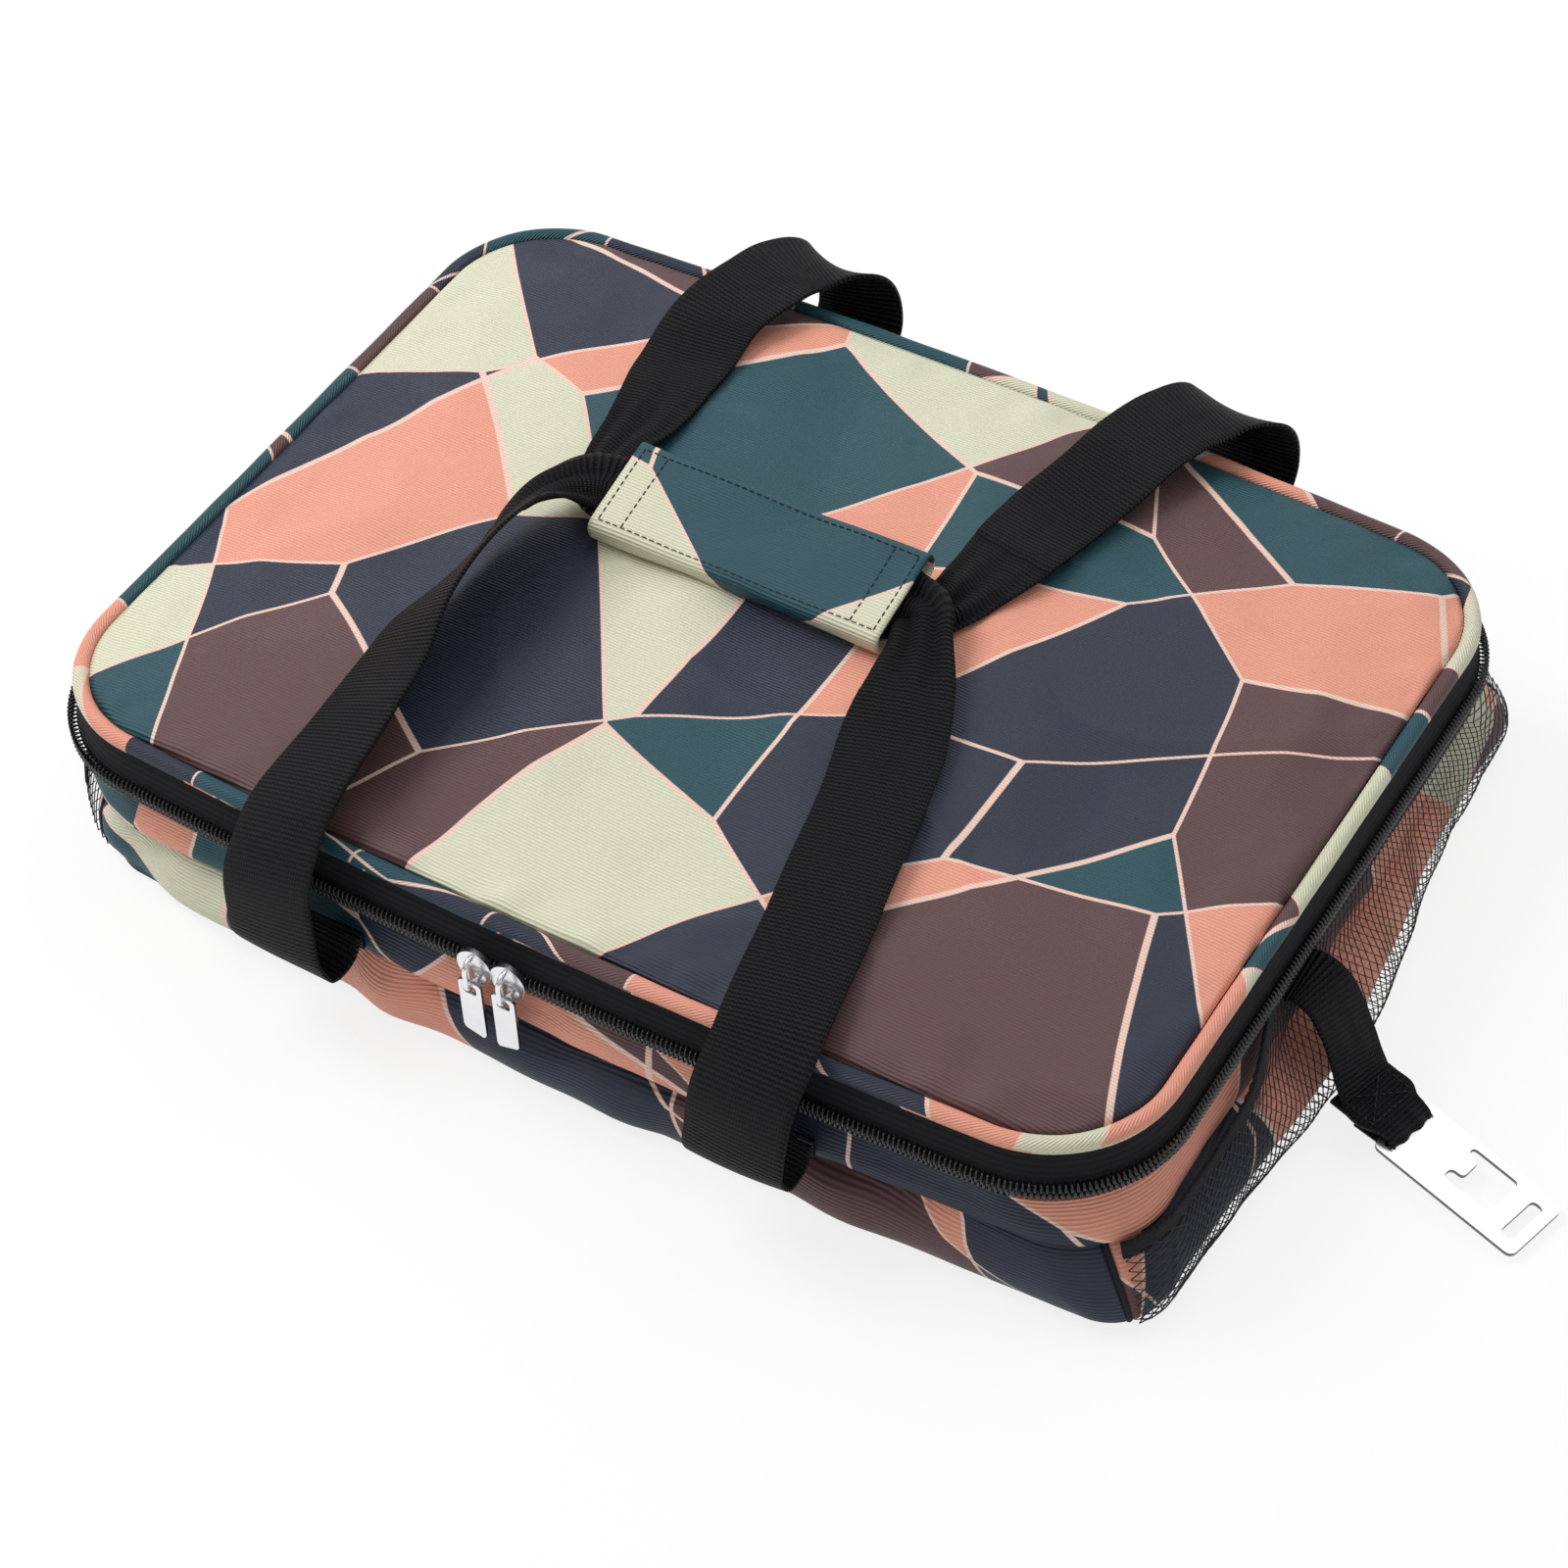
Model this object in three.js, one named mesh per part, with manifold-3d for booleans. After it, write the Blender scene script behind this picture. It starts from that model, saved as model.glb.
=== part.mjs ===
// A collapsible cooler bag, folded flat with its lid zipped shut and its handles lying on the lid.
// Millimetres. X runs along the lid, -Y is the front with the two zip pulls, +Z is up.
// The origin is on the floor, under the middle of the lid.
import * as THREE from 'three';
import { mergeVertices } from 'three/addons/utils/BufferGeometryUtils.js';
import Module from 'manifold-3d';

const wasm = await Module();
wasm.setup();

// Driving sizes of the lid, seen from above. The base follows it, a little shorter and narrower,
// and in the folded bag it lies off the lid's middle and skewed, by a share of y.
const LID_LENGTH = 450;
const LID_WIDTH = 326;
const LID_CORNER = 50;
const LID_BOW = 4.7;
const BASE_END_SETBACK = 10;
const BASE_SIDE_SETBACK = 3;
const BASE_SHIFT = 13;
const BASE_SKEW = 0.03;
const BASE_LENGTH = LID_LENGTH - 2 * BASE_END_SETBACK;
const BASE_WIDTH = LID_WIDTH - 2 * BASE_SIDE_SETBACK;
const BASE_CORNER = 16;
const BASE_BOW = 7;

// Layers of cloth and foam, and the gap kept between pieces that lie on each other
const GAP = 0.3;
const SHELL_CLOTH = 1.4;
const LINER_CLOTH = 0.8;
const WALL_FOAM = 4;
const BASE_BOARD = 3;
const BASE_FOAM = 5;
const NET_CLOTH = 0.8;

// The walls, folded inwards at the crease below the band and bellied out down to the floor
const BELLY_HEIGHT = 12;
const BELLY_DEPTH = 6.5;
const CREASE_HEIGHT = 26;
const CREASE_DEPTH = 12;
const CREASE_MOUTH = 3.5;
const BASE_STACK_INSET = 7;

// The rim, from the band's hem up to the zip
const BAND_HEM = 29.6;
const BAND_HEIGHT = 15.4;
const BAND_TOP = BAND_HEM + BAND_HEIGHT;
const BAND_BELLY = 1.9;
const BAND_BELLY_Z = BAND_HEM + BAND_HEIGHT * 0.32;
const WALL_LAP = 5;
const RIM_FOOT = BAND_HEM + WALL_LAP;
const LOWER_TAPE_HEIGHT = 10.2;
const UPPER_TAPE_HEIGHT = 14.3;
const ZIP_LINE = BAND_TOP + LOWER_TAPE_HEIGHT;

// The lid
const PIPING_DIAMETER = 7;
const PIPING_FOOT = ZIP_LINE + UPPER_TAPE_HEIGHT;
const PIPING_HEIGHT = PIPING_FOOT + PIPING_DIAMETER / 2;
const LID_THICKNESS = 10.6;
const LID_EDGE_TOP = PIPING_HEIGHT + PIPING_DIAMETER * 0.43;
const LID_UNDERSIDE = LID_EDGE_TOP - LID_THICKNESS;
const LID_CROWN = 5;
const LID_TOP = LID_EDGE_TOP + LID_CROWN;

// The zip
const TAPE_THICKNESS = 1;
const TAPE_INSET = 4;
const TAPE_LAP = 5;
const COIL_HEIGHT = 2.8;
const COIL_THICKNESS = 2.4;
const SLIDER_WIDTH = 8.5;
const SLIDER_HEIGHT = 11;
const SLIDER_PLATE = 1.6;
const SLIDER_BAIL = 5.5;
const BAIL_WIDTH = 3.8;
const BAIL_WIRE = 1.4;
const BAIL_POST = 1.8;
const LEFT_SLIDER_X = -18;
const RIGHT_SLIDER_X = -4;
const PULL_LENGTH = 28;
const PULL_WIDTH = 8.5;
const PULL_THICKNESS = 1.6;
const PULL_CORNER = 1.2;
const PULL_EYE = 3.6;
const PULL_RAIL = 2;

// Webbing handles and their cuff, which leans forwards on the lid
const WEBBING_WIDTH = 38;
const WEBBING_THICKNESS = 1.6;
const ANCHOR_HEIGHT = 9;
const ANCHOR_LEVEL = BAND_HEM + BAND_HEIGHT * 0.55;
const CUFF_LENGTH = 124;
const CUFF_WIDTH = 41;
const CUFF_CORNER = 3;
const CUFF_CLOTH = 1.6;
const CUFF_X = -LID_LENGTH * 0.0444;
const CUFF_Y = LID_WIDTH * 0.0693;
const CUFF_LIFT = 1.3;
const CUFF_TILT = 14;
const FASTENER_LENGTH = 106;
const FASTENER_WIDTH = 18;
const FASTENER_THICKNESS = 1;
const FASTENER_SHIFT = 4;

// Side tab and bottle opener
const TAB_WIDTH = 25;
const OPENER_REACH = 51;
const OPENER_Y = -42;
const OPENER_HEIGHT = 8;
const OPENER_TURN = -15;
const OPENER_DIP = 5;
const OPENER_LENGTH = 62;
const OPENER_WIDTH = 28;
const OPENER_CORNER = 3;
const OPENER_THICKNESS = 1.8;
const OPENER_BAR = 2.4;
const OPENER_SLOT = 5;
const OPENER_EYE_WIDTH = 18;
const OPENER_EYE_INSET = 8;
const OPENER_MOUTH = 17;
const OPENER_MOUTH_X = 35.5;
const OPENER_MOUTH_Y = 2.5;
const OPENER_HOOK_LENGTH = 4;
const OPENER_HOOK_WIDTH = 7;

// Mesh pockets on both ends: how deep they bulge, where along the end and over what width
const POCKET_TOP = 32;
const POCKET_BULGE = 14;
const POCKET_BULGE_Y = -22;
const POCKET_BULGE_WIDTH = 75;
const POCKET_ELASTIC = 4;
const ELASTIC_THICKNESS = 1.6;

// How finely the outlines and curves are stepped
const CORNER_STEPS = 6;
const LONG_STEPS = 6;
const SHORT_STEPS = 8;
const CURVE_STEPS = 3;
const PIPING_SIDES = 10;
const COIL_SIDES = 8;
const STATIONS = 4 * CORNER_STEPS + 2 * LONG_STEPS + 2 * SHORT_STEPS;
const FRONT_RIGHT = CORNER_STEPS + LONG_STEPS;
const BACK_RIGHT = FRONT_RIGHT + CORNER_STEPS + SHORT_STEPS;
const BACK_LEFT = BACK_RIGHT + CORNER_STEPS + LONG_STEPS;
const HINGE_RIGHT = BACK_RIGHT + CORNER_STEPS / 2;
const HINGE_LEFT = BACK_LEFT - CORNER_STEPS / 2;

// How each piece looks in the quick views
const PRINT = { color: 0x33505c, roughness: 0.55, metalness: 0 };
const WEBBING = { color: 0x0d0d11, roughness: 0.85, metalness: 0 };
const LINER = { color: 0xb9bdc2, roughness: 0.45, metalness: 0.2 };
const FOAM = { color: 0xe8e8e6, roughness: 0.95, metalness: 0 };
const BOARD = { color: 0x2a2a2c, roughness: 0.7, metalness: 0 };
const TAPE = { color: 0x121319, roughness: 0.8, metalness: 0 };
const COIL = { color: 0x08080a, roughness: 0.35, metalness: 0 };
const NET = { color: 0x0b0c10, roughness: 0.7, metalness: 0 };
const NICKEL = { color: 0xd9dade, roughness: 0.18, metalness: 1 };
const STEEL = { color: 0xd4d6da, roughness: 0.35, metalness: 1 };

const bag = new THREE.Group();

function addPiece(name, geometry, look) {
  const piece = new THREE.Mesh(geometry, new THREE.MeshStandardMaterial(look));
  piece.name = name;
  bag.add(piece);
  return piece;
}

// Makes one closed body through a row of sections, each a closed loop with as many points.
// The end sections are filled by the triangles in fill, or by a fan where a section is convex.
// The second half of a strip's outline is its far face, whose quads are cut along the same
// diagonal as the near face's, so that a thin twisted sheet keeps its thickness.
function bodyThrough(sections, { closed = false, fill = null } = {}) {
  const size = sections[0].length;
  const index = [];
  const pairs = closed ? sections.length : sections.length - 1;
  for (let row = 0; row < pairs; row += 1) {
    const here = row * size;
    const next = ((row + 1) % sections.length) * size;
    for (let i = 0; i < size; i += 1) {
      const j = (i + 1) % size;
      const farFace = closed ? row >= sections.length / 2 : i >= size / 2;
      if (farFace) {
        index.push(here + i, here + j, next + i, here + j, next + j, next + i);
      } else {
        index.push(here + i, here + j, next + j, here + i, next + j, next + i);
      }
    }
  }
  if (!closed) {
    const fan = Array.from({ length: size - 2 }, (_, i) => [0, i + 1, i + 2]);
    const last = (sections.length - 1) * size;
    for (const [a, b, c] of fill ?? fan) {
      index.push(c, b, a, last + a, last + b, last + c);
    }
  }
  const points = sections.flat();
  let volume = 0;
  for (let i = 0; i < index.length; i += 3) {
    const [a, b, c] = [points[index[i]], points[index[i + 1]], points[index[i + 2]]];
    volume += a.dot(b.clone().cross(c));
  }
  const geometry = new THREE.BufferGeometry().setFromPoints(points);
  geometry.setIndex(volume > 0 ? index : index.reverse());
  geometry.computeVertexNormals();
  return geometry;
}

// Points round a rounded rectangle seen from above, anticlockwise from the middle of the
// front left corner. The long edges bow out, inset draws the whole outline in, and shift and
// skew move it along X.
function outline({ length, width, corner, bow, shift = 0, skew = 0 }, inset, z) {
  const radius = Math.max(corner - inset, 1);
  const centreX = length / 2 - inset - radius;
  const centreY = width / 2 - inset - radius;
  const points = [];
  const corners = [[1, -1], [1, 1], [-1, 1], [-1, -1]];
  corners.forEach(([sideX, sideY], turn) => {
    for (let step = 0; step <= CORNER_STEPS; step += 1) {
      const angle = (turn - 1 + step / CORNER_STEPS) * Math.PI / 2;
      const x = sideX * centreX + radius * Math.cos(angle);
      points.push(new THREE.Vector3(x, sideY * centreY + radius * Math.sin(angle), z));
    }
    const [nextX, nextY] = corners[(turn + 1) % 4];
    const angle = turn * Math.PI / 2;
    const start = points.at(-1);
    const end = new THREE.Vector3(nextX * centreX + radius * Math.cos(angle),
      nextY * centreY + radius * Math.sin(angle), z);
    const steps = turn % 2 ? LONG_STEPS : SHORT_STEPS;
    for (let step = 1; step < steps; step += 1) {
      points.push(start.clone().lerp(end, step / steps));
    }
  });
  for (const point of points) {
    const share = Math.min(Math.abs(point.x) / Math.max(centreX, 1), 1);
    point.y += Math.sign(point.y) * bow * (1 - share * share);
    point.x += shift - skew * point.y;
  }
  const first = points.length - LONG_STEPS + 1 - CORNER_STEPS / 2 - 1;
  return [...points.slice(first), ...points.slice(0, first)];
}

const LID_SHAPE = { length: LID_LENGTH, width: LID_WIDTH, corner: LID_CORNER, bow: LID_BOW };
const BASE_SHAPE = {
  length: BASE_LENGTH,
  width: BASE_WIDTH,
  corner: BASE_CORNER,
  bow: BASE_BOW,
  shift: BASE_SHIFT,
  skew: BASE_SKEW,
};

// The outline at a height of the folded wall: the lid's above the band, the base's on the floor
function wallOutline(out, z) {
  const share = THREE.MathUtils.clamp((BAND_TOP - z) / (BAND_TOP - BELLY_HEIGHT / 2), 0, 1);
  const above = outline(LID_SHAPE, -out, z);
  const below = outline(BASE_SHAPE, -out, z);
  return above.map((point, i) => point.clone().lerp(below[i], share));
}

// Thickens a line of [out, z] points into a closed profile
function strip(line, thickness) {
  const half = thickness / 2;
  const sides = [[], []];
  line.forEach(([out, z], i) => {
    const before = line[Math.max(i - 1, 0)];
    const after = line[Math.min(i + 1, line.length - 1)];
    const way = new THREE.Vector2(after[0] - before[0], after[1] - before[1]).normalize();
    sides[0].push([out + way.y * half, z - way.x * half]);
    sides[1].unshift([out - way.y * half, z + way.x * half]);
  });
  return [...sides[0], ...sides[1]];
}

// Moves a line of [out, z] points sideways by a distance
function beside(line, distance) {
  return line.map(([out, z], i) => {
    const before = line[Math.max(i - 1, 0)];
    const after = line[Math.min(i + 1, line.length - 1)];
    const way = new THREE.Vector2(after[0] - before[0], after[1] - before[1]).normalize();
    return [out - way.y * distance, z + way.x * distance];
  });
}

// Sweeps a closed profile of [out, z] points all round the bag, or along some of the stations
function sweepRound(profile, from = 0, to = STATIONS, shapeAt = wallOutline) {
  const rings = profile.map(([out, z]) => shapeAt(out, z));
  if (to - from === STATIONS) {
    return bodyThrough(rings, { closed: true });
  }
  const sections = [];
  for (let station = from; station <= to; station += 1) {
    sections.push(rings.map((ring) => ring[(station + STATIONS) % STATIONS]));
  }
  const flat = profile.map(([out, z]) => new THREE.Vector2(out, z));
  return bodyThrough(sections, { fill: THREE.ShapeUtils.triangulateShape(flat, []) });
}

// A flat or crowned sheet with the lid's or the base's outline, from [inset, z] rows
function sheet(shape, rows) {
  return bodyThrough(rows.map(([inset, z]) => outline(shape, inset, z)));
}

// Smooth line of [x, y, z, ...] points through the chosen ones, with slopes per millimetre
function smoothLine(chosen, steps) {
  const gap = (i) => Math.hypot(...[0, 1, 2].map((k) => chosen[i + 1][k] - chosen[i][k]));
  const slope = (i, k) => (chosen[i + 1][k] - chosen[i][k]) / gap(i);
  const tangent = (i, k) => {
    if (i === 0 || i === chosen.length - 1) {
      return slope(Math.max(i - 1, 0), k);
    }
    return (slope(i, k) * gap(i - 1) + slope(i - 1, k) * gap(i)) / (gap(i - 1) + gap(i));
  };
  const line = [];
  for (let i = 0; i < chosen.length - 1; i += 1) {
    for (let step = 0; step < steps; step += 1) {
      const t = step / steps;
      line.push(chosen[i].map((from, k) => (2 * t ** 3 - 3 * t ** 2 + 1) * from
        + (t ** 3 - 2 * t ** 2 + t) * gap(i) * tangent(i, k)
        + (3 * t ** 2 - 2 * t ** 3) * chosen[i + 1][k]
        + (t ** 3 - t ** 2) * gap(i) * tangent(i + 1, k)));
    }
  }
  line.push(chosen.at(-1));
  return line;
}

// A strap along chosen points of [x, y, z, turn, lift, share]: its centre, the direction of its
// right edge as a turn from +X and a lift above level, and its share of the full width
function strapAlong(chosen, width, thickness) {
  const line = smoothLine(chosen, CURVE_STEPS);
  const centres = line.map(([x, y, z]) => new THREE.Vector3(x, y, z));
  const sections = line.map(([, , , turn, lift, share], i) => {
    const before = centres[Math.max(i - 1, 0)];
    const after = centres[Math.min(i + 1, centres.length - 1)];
    const way = after.clone().sub(before).normalize();
    const [a, b] = [THREE.MathUtils.degToRad(turn), THREE.MathUtils.degToRad(lift)];
    const level = Math.cos(b);
    const side = new THREE.Vector3(Math.cos(a) * level, Math.sin(a) * level, Math.sin(b));
    side.addScaledVector(way, -side.dot(way)).normalize().multiplyScalar(width * share / 2);
    const up = side.clone().cross(way).normalize().multiplyScalar(thickness / 2);
    return [[-1, -1], [1, -1], [1, 1], [-1, 1]].map(([s, u]) => (
      centres[i].clone().addScaledVector(side, s).addScaledVector(up, u)));
  });
  return bodyThrough(sections);
}

function toSolid(geometry) {
  const bare = geometry.clone();
  bare.deleteAttribute('normal');
  bare.deleteAttribute('uv');
  const merged = mergeVertices(bare);
  return new wasm.Manifold(new wasm.Mesh({
    numProp: 3,
    vertProperties: new Float32Array(merged.attributes.position.array),
    triVerts: new Uint32Array(merged.index.array),
  }));
}

function toGeometry(solid) {
  const mesh = solid.getMesh();
  const geometry = new THREE.BufferGeometry();
  geometry.setAttribute('position', new THREE.BufferAttribute(mesh.vertProperties, 3));
  geometry.setIndex(new THREE.BufferAttribute(mesh.triVerts, 1));
  geometry.computeVertexNormals();
  return geometry;
}

function block(width, depth, height, x, y, z) {
  return new THREE.BoxGeometry(width, depth, height).translate(x, y, z);
}

// Rounded flat plate in the XY plane, its lower face on z = 0
function plate(length, width, corner, thickness) {
  const [a, b] = [length / 2, width / 2];
  const shape = new THREE.Shape();
  shape.moveTo(-a + corner, -b);
  shape.lineTo(a - corner, -b);
  shape.quadraticCurveTo(a, -b, a, -b + corner);
  shape.lineTo(a, b - corner);
  shape.quadraticCurveTo(a, b, a - corner, b);
  shape.lineTo(-a + corner, b);
  shape.quadraticCurveTo(-a, b, -a, b - corner);
  shape.lineTo(-a, -b + corner);
  shape.quadraticCurveTo(-a, -b, -a + corner, -b);
  const options = { depth: thickness, bevelEnabled: false, curveSegments: 4 };
  return new THREE.ExtrudeGeometry(shape, options);
}

// Base: the cover that lies on the floor, the stiffening board, the foam and the lining
function buildBase() {
  const boardFoot = SHELL_CLOTH + GAP;
  const foamFoot = boardFoot + BASE_BOARD + GAP;
  const linerFoot = foamFoot + BASE_FOAM + GAP;
  const top = linerFoot + LINER_CLOTH;
  const slab = (from, to) => sheet(BASE_SHAPE, [[BASE_STACK_INSET, from], [BASE_STACK_INSET, to]]);
  const coverRows = [[1, 0], [-1, SHELL_CLOTH / 2], [-1, SHELL_CLOTH]];
  addPiece('base_cover', sheet(BASE_SHAPE, coverRows), PRINT);
  addPiece('base_board', slab(boardFoot, boardFoot + BASE_BOARD), BOARD);
  addPiece('base_foam', slab(foamFoot, foamFoot + BASE_FOAM), FOAM);
  addPiece('base_liner', slab(linerFoot, top), LINER);
  return top;
}

// The wall's cloth as a line of [out, z] points: up behind the band, into the crease, out over
// the belly and back in to the floor
const WALL_LINE = [
  [BAND_BELLY - SHELL_CLOTH - GAP, RIM_FOOT],
  [-CREASE_DEPTH / 3, CREASE_HEIGHT + CREASE_MOUTH],
  [-CREASE_DEPTH, CREASE_HEIGHT],
  [-CREASE_DEPTH / 3, CREASE_HEIGHT - CREASE_MOUTH],
  [BELLY_DEPTH * 0.6, (CREASE_HEIGHT + BELLY_HEIGHT) / 2],
  [BELLY_DEPTH, BELLY_HEIGHT],
  [BELLY_DEPTH * 0.75, BELLY_HEIGHT * 0.45],
  [BELLY_DEPTH * 0.25, SHELL_CLOTH * 1.4 + GAP],
];

// Walls: the printed cover in four panels, with foam and lining behind it
function buildWalls(baseTop) {
  const cover = strip(WALL_LINE, SHELL_CLOTH);
  addPiece('wall_front', sweepRound(cover, 0, FRONT_RIGHT), PRINT);
  addPiece('wall_right', sweepRound(cover, FRONT_RIGHT, BACK_RIGHT), PRINT);
  addPiece('wall_back', sweepRound(cover, BACK_RIGHT, BACK_LEFT), PRINT);
  addPiece('wall_left', sweepRound(cover, BACK_LEFT, STATIONS), PRINT);
  const foamDepth = CREASE_DEPTH + SHELL_CLOTH / 2 + GAP + WALL_FOAM / 2;
  const foamLine = [
    [-foamDepth * 0.66, RIM_FOOT - GAP - WALL_FOAM * 0.4],
    [-foamDepth * 1.17, CREASE_HEIGHT],
    [-foamDepth * 0.8, (CREASE_HEIGHT + baseTop) / 2],
    [-foamDepth * 0.6, baseTop + GAP + WALL_FOAM * 0.35],
  ];
  const linerLine = beside(foamLine, -(WALL_FOAM / 2 + GAP + LINER_CLOTH / 2));
  addPiece('wall_foam', sweepRound(strip(foamLine, WALL_FOAM)), FOAM);
  addPiece('wall_liner', sweepRound(strip(linerLine, LINER_CLOTH)), LINER);
}

// Where the front (side -1) or the back (side 1) of the wall's outline crosses x
function edgeY(x, out, z, side) {
  const edge = wallOutline(out, z).filter((point) => point.y * side > 0);
  edge.sort((a, b) => a.x - b.x);
  const next = edge.findIndex((point) => point.x > x);
  const [a, b] = [edge[next - 1], edge[next]];
  return THREE.MathUtils.mapLinear(x, a.x, b.x, a.y, b.y);
}

// The printed band below the zip, as a line of [out, z] points down to its turned hem
const BAND_LINE = [
  [-TAPE_INSET + TAPE_THICKNESS / 2 + GAP + SHELL_CLOTH / 2, BAND_TOP],
  [-BAND_BELLY * 0.2, BAND_HEM + BAND_HEIGHT * 0.68],
  [BAND_BELLY, BAND_BELLY_Z],
  [BAND_BELLY * 0.8, BAND_HEM + BAND_HEIGHT * 0.1],
  [-BAND_BELLY * 0.3, BAND_HEM],
];

// Rim: the band, the foam and lining behind it, and the cloth hinge at the back of the lid
function buildRim() {
  const top = ZIP_LINE - GAP;
  const upright = (out) => [RIM_FOOT, BAND_TOP, top].map((z) => [out, z]);
  const foamOut = -TAPE_INSET - TAPE_THICKNESS / 2 - GAP - WALL_FOAM / 2;
  const linerOut = foamOut - WALL_FOAM / 2 - GAP - LINER_CLOTH / 2;
  const hingeOut = -TAPE_INSET + TAPE_THICKNESS + GAP;
  const hinge = strip([[hingeOut, BAND_TOP + 2 * GAP], [hingeOut, PIPING_FOOT - GAP]], LINER_CLOTH);
  addPiece('rim_band', sweepRound(strip(BAND_LINE, SHELL_CLOTH)), PRINT);
  addPiece('rim_foam', sweepRound(strip(upright(foamOut), WALL_FOAM)), FOAM);
  addPiece('rim_liner', sweepRound(strip(upright(linerOut), LINER_CLOTH)), LINER);
  addPiece('lid_hinge_strip', sweepRound(hinge, HINGE_RIGHT, HINGE_LEFT), TAPE);
}

// Points round an oval, as [across, up]
function oval(sides, width, height) {
  return Array.from({ length: sides }, (_, i) => {
    const angle = i * 2 * Math.PI / sides;
    return [width / 2 * Math.cos(angle), height / 2 * Math.sin(angle)];
  });
}

// Lid: a crowned cover, foam and lining inside a round piping. The crown's rows are shares of
// the way from the lid's edge to its middle and of the crown's height.
function buildLid() {
  const edge = PIPING_DIAMETER + GAP;
  const reach = LID_WIDTH / 2 - edge - 2;
  const rows = [[0, 0], [0.09, 0.45], [0.3, 0.75], [0.6, 0.93], [0.97, 1]];
  const crown = rows.map(([way, rise]) => [edge + reach * way, LID_EDGE_TOP + LID_CROWN * rise]);
  const under = crown.map(([inset, z]) => [inset, z - SHELL_CLOTH]);
  const foamTop = crown.map(([inset, z]) => [inset, z - SHELL_CLOTH - GAP]);
  const linerTop = LID_UNDERSIDE + LINER_CLOTH;
  const round = oval(PIPING_SIDES, PIPING_DIAMETER, PIPING_DIAMETER);
  const piping = round.map(([out, z]) => [out - PIPING_DIAMETER / 2, PIPING_HEIGHT + z]);
  addPiece('lid_cover', sheet(LID_SHAPE, [...under.reverse(), ...crown]), PRINT);
  addPiece('lid_foam', sheet(LID_SHAPE, [[edge, linerTop + GAP], ...foamTop]), FOAM);
  addPiece('lid_liner', sheet(LID_SHAPE, [[edge, LID_UNDERSIDE], [edge, linerTop]]), LINER);
  addPiece('lid_piping', sweepRound(piping), PRINT);
}

// Zip: an upper tape and coil on the lid, and a lower tape and coil on the rim, that run round
// the front, both ends and the back corners and stop where the cloth hinge begins
function buildZip() {
  const from = HINGE_LEFT - STATIONS;
  const coilOut = -TAPE_INSET + TAPE_THICKNESS / 2 + GAP + COIL_THICKNESS / 2;
  const upper = [ZIP_LINE + GAP / 2, PIPING_FOOT - GAP].map((z) => [-TAPE_INSET, z]);
  const lower = [BAND_TOP - TAPE_LAP, BAND_TOP, ZIP_LINE - GAP / 2].map((z) => [-TAPE_INSET, z]);
  addPiece('upper_zip_tape', sweepRound(strip(upper, TAPE_THICKNESS), from, HINGE_RIGHT), TAPE);
  addPiece('lower_zip_tape', sweepRound(strip(lower, TAPE_THICKNESS), from, HINGE_RIGHT), TAPE);
  for (const [name, side] of [['upper_zip_coil', 1], ['lower_zip_coil', -1]]) {
    const middle = ZIP_LINE + side * (GAP + COIL_HEIGHT) / 2;
    const round = oval(COIL_SIDES, COIL_THICKNESS, COIL_HEIGHT);
    const coil = round.map(([out, z]) => [coilOut + out, middle + z]);
    addPiece(name, sweepRound(coil, from + 1, HINGE_RIGHT - 1), COIL);
  }
}

// Slider: a front plate over the coils with a bail. The pull's eye goes round the bail's lower
// post, so that its top rail lies in the bail and the pull hangs in front of the band.
function buildSlider(name, pullName, x) {
  const coilFace = -TAPE_INSET + TAPE_THICKNESS / 2 + GAP + COIL_THICKNESS;
  const faceY = edgeY(x, coilFace + GAP, ZIP_LINE, -1);
  const railZ = ZIP_LINE - PULL_RAIL / 2;
  const railSwing = Math.hypot(PULL_RAIL, PULL_THICKNESS) / 2 + GAP / 2;
  const barY = -SLIDER_PLATE - SLIDER_BAIL + BAIL_WIRE / 2;
  const lowPost = railZ - railSwing - BAIL_POST / 2;
  const highPost = ZIP_LINE + SLIDER_HEIGHT / 2 - BAIL_POST / 2;
  const postLength = -barY - SLIDER_PLATE / 2;
  const postY = (barY - SLIDER_PLATE / 2) / 2;
  const barHeight = highPost - lowPost + BAIL_POST;
  const parts = [
    block(SLIDER_WIDTH, SLIDER_PLATE, SLIDER_HEIGHT, 0, -SLIDER_PLATE / 2, ZIP_LINE),
    block(BAIL_WIDTH, postLength, BAIL_POST, 0, postY, lowPost),
    block(BAIL_WIDTH, postLength, BAIL_POST, 0, postY, highPost),
    block(BAIL_WIDTH, BAIL_WIRE, barHeight, 0, barY, (highPost + lowPost) / 2),
  ];
  const slider = parts.map(toSolid).reduce((all, part) => all.add(part));
  addPiece(name, toGeometry(slider).translate(x, faceY, 0), NICKEL);

  const eyeWidth = BAIL_WIDTH + 4 * GAP;
  const eyeY = PULL_LENGTH / 2 - PULL_RAIL - PULL_EYE / 2;
  const eye = block(eyeWidth, PULL_EYE, 3 * PULL_THICKNESS, 0, eyeY, PULL_THICKNESS / 2);
  const flat = plate(PULL_WIDTH, PULL_LENGTH, PULL_CORNER, PULL_THICKNESS);
  const pull = toGeometry(toSolid(flat).subtract(toSolid(eye))).rotateX(Math.PI / 2);
  const pullY = faceY + barY + BAIL_WIRE / 2 + railSwing + PULL_THICKNESS / 2;
  const pullZ = railZ + PULL_RAIL / 2 - PULL_LENGTH / 2;
  addPiece(pullName, pull.translate(x, pullY, pullZ), NICKEL);
}

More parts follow.
